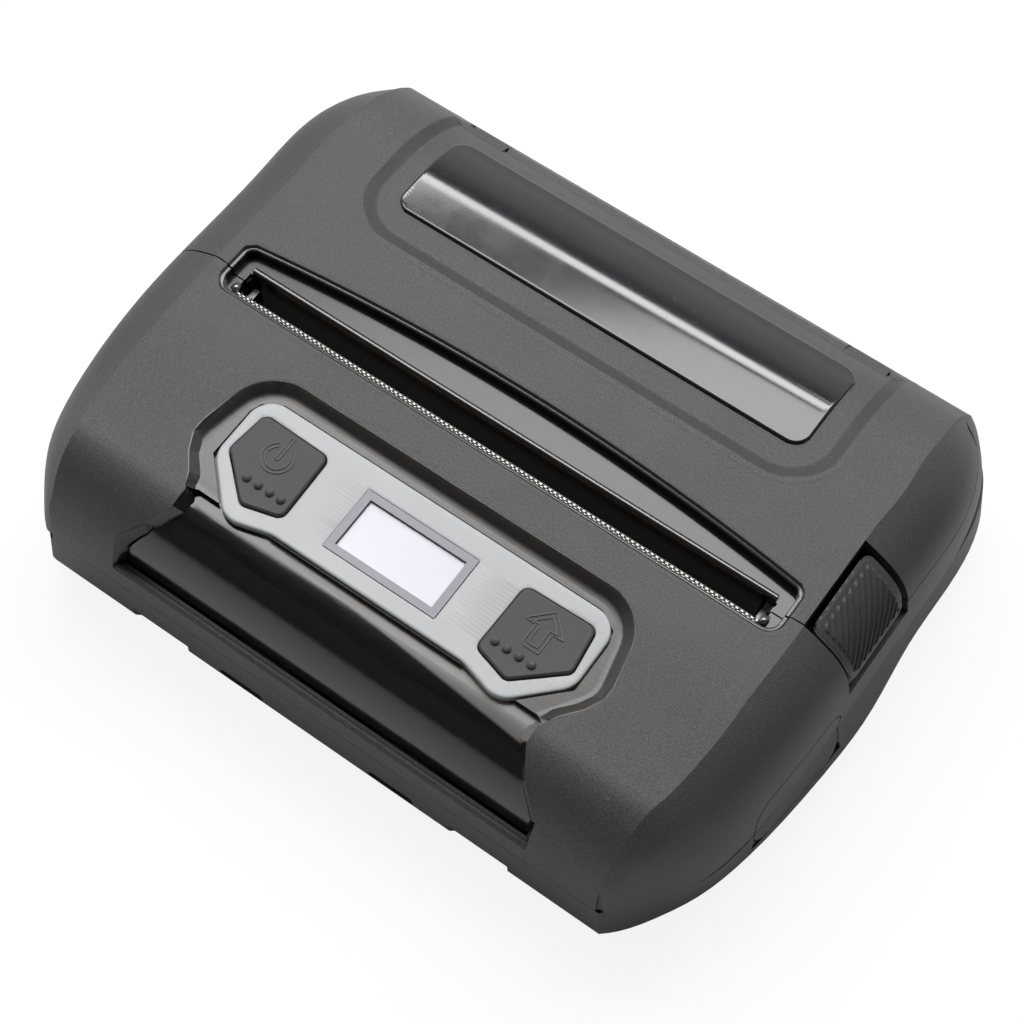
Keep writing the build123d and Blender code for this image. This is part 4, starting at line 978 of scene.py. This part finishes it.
class PRINTER_OT_latch_ribs(bpy.types.Operator):
    """Moulds the slanting finger ribs into the cap of the latch button"""
    bl_idname = "printer.latch_ribs"
    bl_label = "Make the latch ribs"

    SPREAD_U = (-0.0075, 0.0070)
    REACH_Y = (-0.0043, 0.0141)
    LEAN = 1.20
    PITCH = 0.00200
    DEPTH = 0.00045
    MARGIN = 0.0013
    CORNER = 0.0022
    CENTRE = (0.0715, 0.0, 0.0335)
    GRID = (80, 150)
    RIM_DROP = 0.00030
    RIM_WIDTH = 0.0004
    RIM_LIFT = 0.00005
    RIB_SOFT = 0.0003
    RIB_SLOPE = 0.22
    SAMPLED = ((-0.0076, 0.0150, 25), (-0.0044, 0.0186, 45))
    POWERS = [(a, b) for a in range(5) for b in range(3)]

    def execute(self, context):
        settings = context.scene.printer_case
        shell = NODES["latch_button"].data
        tree = BVHTree.FromPolygons([v.co for v in shell.vertices], [p.vertices for p in shell.polygons])
        out = Vector((1.0, 0.0, 1.0)).normalized()
        down = Vector((1.0, 0.0, -1.0)).normalized()
        centre = Vector(self.CENTRE)
        (first_u, span_u, count_u), (first_y, span_y, count_y) = self.SAMPLED
        samples = []
        for i in range(count_u):
            for j in range(count_y):
                u = first_u + span_u * i / (count_u - 1)
                y = first_y + span_y * j / (count_y - 1)
                start = centre + down * u + Vector((0, y, 0)) + out * 0.03
                hit = tree.ray_cast(start, -out, 0.05)[0]
                if hit is not None:
                    samples.append((u, y, (hit - centre).dot(out)))
        u, y, h = np.array(samples).T / MM
        terms = np.stack([u**a * y**b for a, b in self.POWERS], axis=1)
        keep = h > np.median(h) - 4.0
        for _ in range(10):
            weights = np.linalg.lstsq(terms[keep], h[keep], rcond=None)[0]
            keep = h - terms @ weights > -0.06
        bm = bmesh.new()
        low_u, high_u = self.SPREAD_U
        low_y, high_y = self.REACH_Y
        columns, rows = self.GRID
        grid = []
        for j in range(rows + 1):
            line = []
            for i in range(columns + 1):
                su, sy = i / columns, j / rows
                pu, py = self.rounded(low_u, high_u, low_y, high_y, su, sy)
                fitted = np.dot([(pu / MM)**a * (py / MM)**b for a, b in self.POWERS], weights)
                rise = float(fitted) * MM + self.relief(pu, py, su, sy)
                line.append(bm.verts.new(centre + down * pu + Vector((0, py, 0)) + out * rise))
            grid.append(line)
        bridge(bm, grid, closed=False)
        new_piece("latch_ribs", bm,
                  case_material(settings, "Latch cap plastic", 0.8), "latch")
        return {"FINISHED"}

    def rounded(self, low_u, high_u, low_y, high_y, su, sy):
        """Point of a rounded rectangle, from its share of the width and of the length."""
        radius = self.CORNER
        y = low_y + (high_y - low_y) * sy
        near = max(0.0, low_y + radius - y, y - high_y + radius)
        tuck = radius - sqrt(max(0.0, radius**2 - near**2))
        return low_u + tuck + (high_u - low_u - 2 * tuck) * su, y

    def relief(self, u, y, su, sy):
        """Height over the plain cap: a soft rim, and raised ribs inside a margin."""
        low_u, high_u = self.SPREAD_U
        low_y, high_y = self.REACH_Y
        edge = min(min(su, 1 - su) * (high_u - low_u), min(sy, 1 - sy) * (high_y - low_y))
        rim = -self.RIM_DROP * max(0.0, 1 - edge / self.RIM_WIDTH) ** 2
        inside = min(1.0, max(0.0, (edge - self.MARGIN) / self.RIB_SOFT))
        phase = ((y + self.LEAN * u) / self.PITCH) % 1.0
        ridge = min(1.0, max(0.0, 1.5 - abs(phase - 0.5) / self.RIB_SLOPE))
        return self.RIM_LIFT + rim + self.DEPTH * inside * ridge


class PRINTER_OT_finish_mechanism(bpy.types.Operator):
    """Gives the print mechanism, the boards and the battery their finishes"""
    bl_idname = "printer.finish_mechanism"
    bl_label = "Finish the mechanism"

    def execute(self, context):
        metals = (
            ("Bright steel", (0.60, 0.60, 0.61), 0.32,
             ("idler_axle", "hinge_pins", "head_springs", "case_screws")),
            # Dark steel on the platen shaft and the frame keeps the shaft's end dark inside the slot
            ("Dark steel", (0.17, 0.17, 0.18), 0.42, ("platen_shaft", "mechanism_frame")),
            ("Plated steel", (0.52, 0.52, 0.53), 0.40, ("stepper_motor", "port_sockets")),
            ("Satin aluminium", (0.72, 0.73, 0.74), 0.36, ("heat_sink",)),
            ("Turned brass", (0.72, 0.53, 0.24), 0.28, ("motor_pinion",)),
        )
        for name, color, rough, nodes in metals:
            dress(nodes, metal_material(name, color, rough))
        # Name, colour, roughness, then size, depth and contrast of the grain, and the sheen
        plastics = (
            ("Ground platen rubber", (0.030, 0.030, 0.032), 0.62, 0.0003, 0.00003, 0.3, 0.3),
            ("White gear plastic", (0.72, 0.71, 0.66), 0.42, 0.00022, 0.00002, 0.1, 0.5),
            ("Inner plastic", (0.045, 0.045, 0.048), 0.5, 0.0005, 0.00005, 0.3, 0.5),
            ("Battery sleeve", (0.035, 0.036, 0.040), 0.45, 0.00022, 0.00002, 0.2, 0.5),
            ("Foot rubber", (0.022, 0.022, 0.023), 0.75, 0.0006, 0.0001, 0.4, 0.25),
        )
        wearers = (("platen_roller",), ("platen_gear", "idler_gear", "platen_bushings"),
                   ("paper_tray", "paper_sensor"), ("battery_pack",), ("rubber_feet",))
        for nodes, values in zip(wearers, plastics):
            dress(nodes, satin_material(*values))
        dress(("print_head",), gloss_material("Glazed print head", (0.16, 0.11, 0.08), 0.16, 0.4))
        dress(("main_board", "button_board"), circuit_material())
        return {"FINISHED"}


class PRINTER_OT_underside(bpy.types.Operator):
    """Builds the screw heads and the grip of the battery door under the case"""
    bl_idname = "printer.underside"
    bl_label = "Make the underside details"

    GRIP_LINES = 6
    GRIP_START = 0.0034
    GRIP_PITCH = 0.0016
    GRIP_HALF = 0.009
    GRIP_TAPER = 0.0008
    GRIP_WIDTH = 0.0007
    GRIP_DEPTH = 0.00035
    GRIP_LIFT = 0.00004
    SCREW_RADIUS = 0.00125
    SCREW_PROFILE = ((0.0, 0.0003), (0.0007, 0.0002), (0.0011, 0.0), (0.00122, -0.0001), (0.00122, 0.0004))

    def execute(self, context):
        steel = metal_material("Screw steel", (0.35, 0.35, 0.36), 0.34)
        low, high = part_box("case_screws")
        bm = bmesh.new()
        for x in (low.x + self.SCREW_RADIUS, high.x - self.SCREW_RADIUS):
            for y in (low.y + self.SCREW_RADIUS, high.y - self.SCREW_RADIUS):
                spun_profile(bm, (x, y, 0.0), [(radius, low.z + rise) for radius, rise in self.SCREW_PROFILE])
        new_piece("screw_heads", bm, steel, "base")
        settings = context.scene.printer_case
        low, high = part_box("battery_door")
        bm = bmesh.new()
        for i in range(self.GRIP_LINES):
            y = high.y - self.GRIP_START - self.GRIP_PITCH * i
            half = self.GRIP_HALF - self.GRIP_TAPER * i
            path = [(half * (2 * k / 8 - 1), y) for k in range(9)]
            half_round_line(bm, path, self.GRIP_WIDTH, -self.GRIP_DEPTH, lambda _y: low.z + self.GRIP_LIFT)
        new_piece("battery_door_grip", bm,
                  case_material(settings, "Door grip plastic", 0.9), "base")
        return {"FINISHED"}


class PRINTER_OT_stage(bpy.types.Operator):
    """Sets the floor, the soft studio light and the camera"""
    bl_idname = "printer.stage"
    bl_label = "Set the stage"

    def execute(self, context):
        settings = context.scene.printer_stage
        scene = context.scene
        scene.view_settings.view_transform = "Standard"
        self.add_floor(settings)
        self.add_world(scene, settings)
        self.add_light("Key light", KEY_LIGHT, settings.key_power)
        self.add_light("Strip light", STRIP_LIGHT, settings.strip_power)
        fill = self.add_light("Fill light", FILL_LIGHT, settings.fill_power)
        fill.visible_glossy = False
        self.add_camera(scene)
        return {"FINISHED"}

    def add_floor(self, settings):
        bm = bmesh.new()
        bmesh.ops.create_grid(bm, x_segments=4, y_segments=4, size=FLOOR_REACH)
        mesh = finish_mesh(bm, "floor", smooth=False)
        floor = bpy.data.objects.new("floor", mesh)
        bpy.context.scene.collection.objects.link(floor)
        material, tree, shader = new_material("Studio floor", Roughness=0.9, Specular_IOR_Level=0.1)
        color = tuple(settings.floor_color)
        shade = noise_node(tree, object_vector(tree), 3.0)
        fill_in(tree, shader, Base_Color=color_mix(tree, shade, scaled(color, 0.99), color))
        bright = add_node(tree, "Emission", Strength=1.0)
        self.show_camera(tree, "Material Output", shader, bright, FLOOR_GLOW)
        mesh.materials.append(material)

    def show_camera(self, tree, output, lighting, seen, share=None):
        """Lets the camera see one shader, or a share of it, where other rays meet the lighting one."""
        mask = add_node(tree, "LightPath").outputs["Is Camera Ray"]
        if share is not None:
            mask = times(tree, mask, share)
        mix = add_node(tree, "MixShader")
        for socket, value in zip(mix.inputs, (mask, lighting.outputs[0], seen.outputs[0])):
            feed(tree, value, socket)
        feed(tree, mix.outputs[0], tree.nodes[output].inputs["Surface"])

    def add_world(self, scene, settings):
        world = bpy.data.worlds.new("Studio")
        scene.world = world
        world.use_nodes = True
        tree = world.node_tree
        x, y, z = split_vector(tree, add_node(tree, "TexCoord").outputs["Generated"])
        ramp = add_node(tree, "ValToRGB", Fac=z)
        stops = ramp.color_ramp.elements
        stops[0].position, stops[1].position = SKY_STOPS[0][0], SKY_STOPS[-1][0]
        for position, _ in SKY_STOPS[1:-1]:
            stops.new(position)
        for stop, (_, level) in zip(stops, SKY_STOPS):
            stop.color = (level, level, level, 1.0)
        rear = math_node(tree, "SUBTRACT", y, times(tree, x, SKY_TURN))
        fade = add_node(tree, "VectorMath")
        fade.operation = "SCALE"
        feed(tree, ramp.outputs["Color"], fade.inputs[0])
        feed(tree, span_node(tree, rear, *SKY_FADE), fade.inputs["Scale"])
        light = fill_in(tree, tree.nodes["Background"], Strength=settings.world_level, Color=fade.outputs[0])
        white = add_node(tree, "Background", Color=(1.0, 1.0, 1.0), Strength=1.0)
        self.show_camera(tree, "World Output", light, white)

    def add_light(self, name, layout, power):
        place, size = layout
        data = bpy.data.lights.new(name, "AREA")
        data.shape = "RECTANGLE"
        data.size, data.size_y = size
        data.energy = power
        lamp = bpy.data.objects.new(name, data)
        bpy.context.scene.collection.objects.link(lamp)
        lamp.location = place
        aim = Vector(LIGHT_AIM) - Vector(place)
        lamp.rotation_euler = aim.to_track_quat("-Z", "Y").to_euler()
        return lamp

    def add_camera(self, scene):
        az, el, roll = CAMERA_AZIMUTH, CAMERA_ELEVATION, CAMERA_ROLL
        back = Vector((cos(el) * sin(az), -cos(el) * cos(az), sin(el)))
        level = Vector((cos(az), sin(az), 0.0))
        rise = back.cross(level)
        right = level * cos(roll) + rise * sin(roll)
        up = rise * cos(roll) - level * sin(roll)
        place = Vector(CAMERA_AIM) + back * CAMERA_DISTANCE + right * CAMERA_SLIDE[0]
        place += up * CAMERA_SLIDE[1]
        data = bpy.data.cameras.new("Camera")
        data.sensor_width = SENSOR
        data.lens = FOCAL_PIXELS / PICTURE_PIXELS * SENSOR
        data.clip_start = 0.01
        camera = bpy.data.objects.new("Camera", data)
        scene.collection.objects.link(camera)
        matrix = camera.matrix_world.copy()
        for column, axis in enumerate((right, up, back, place)):
            for row in range(3):
                matrix[row][column] = axis[row]
        camera.matrix_world = matrix
        scene.camera = camera


class PRINTER_PT_sidebar(bpy.types.Panel):
    """Sidebar panel with the settings and the steps"""
    bl_idname = "PRINTER_PT_sidebar"
    bl_label = "Receipt printer"
    bl_space_type = "VIEW_3D"
    bl_region_type = "UI"
    bl_category = "Printer"

    def draw(self, context):
        for name, group in SETTINGS:
            for label in group.__annotations__:
                self.layout.prop(getattr(context.scene, name), label)
        for step in STEPS:
            self.layout.operator(step.bl_idname)


SETTINGS = (
    ("printer_case", PrinterCaseSettings),
    ("printer_panel", PrinterPanelSettings),
    ("printer_stage", PrinterStageSettings),
)
STEPS = (
    PRINTER_OT_finish_case,
    PRINTER_OT_case_edges,
    PRINTER_OT_window_glass,
    PRINTER_OT_panel_plate,
    PRINTER_OT_finish_panel,
    PRINTER_OT_key_marks,
    PRINTER_OT_paper_exit,
    PRINTER_OT_latch_ribs,
    PRINTER_OT_finish_mechanism,
    PRINTER_OT_underside,
    PRINTER_OT_stage,
)


def register():
    for name, group in SETTINGS:
        bpy.utils.register_class(group)
        setattr(bpy.types.Scene, name, bpy.props.PointerProperty(type=group))
    for step in STEPS:
        bpy.utils.register_class(step)
    bpy.utils.register_class(PRINTER_PT_sidebar)


def unregister():
    bpy.utils.unregister_class(PRINTER_PT_sidebar)
    for step in reversed(STEPS):
        bpy.utils.unregister_class(step)
    for name, group in reversed(SETTINGS):
        delattr(bpy.types.Scene, name)
        bpy.utils.unregister_class(group)


def main():
    """Registers the add-on and runs its steps."""
    register()
    makers = {"grain": moulded_grain, "dust": settled_dust, "smears": handling_smears,
              "lines": drawn_lines, "levels": below_surface}
    GROUPS.update((key, make()) for key, make in makers.items())
    bpy.ops.printer.finish_case()
    bpy.ops.printer.case_edges()
    bpy.ops.printer.window_glass()
    bpy.ops.printer.panel_plate()
    bpy.ops.printer.finish_panel()
    bpy.ops.printer.key_marks()
    bpy.ops.printer.paper_exit()
    bpy.ops.printer.latch_ribs()
    bpy.ops.printer.finish_mechanism()
    bpy.ops.printer.underside()
    bpy.ops.printer.stage()


if __name__ == "__main__":
    main()
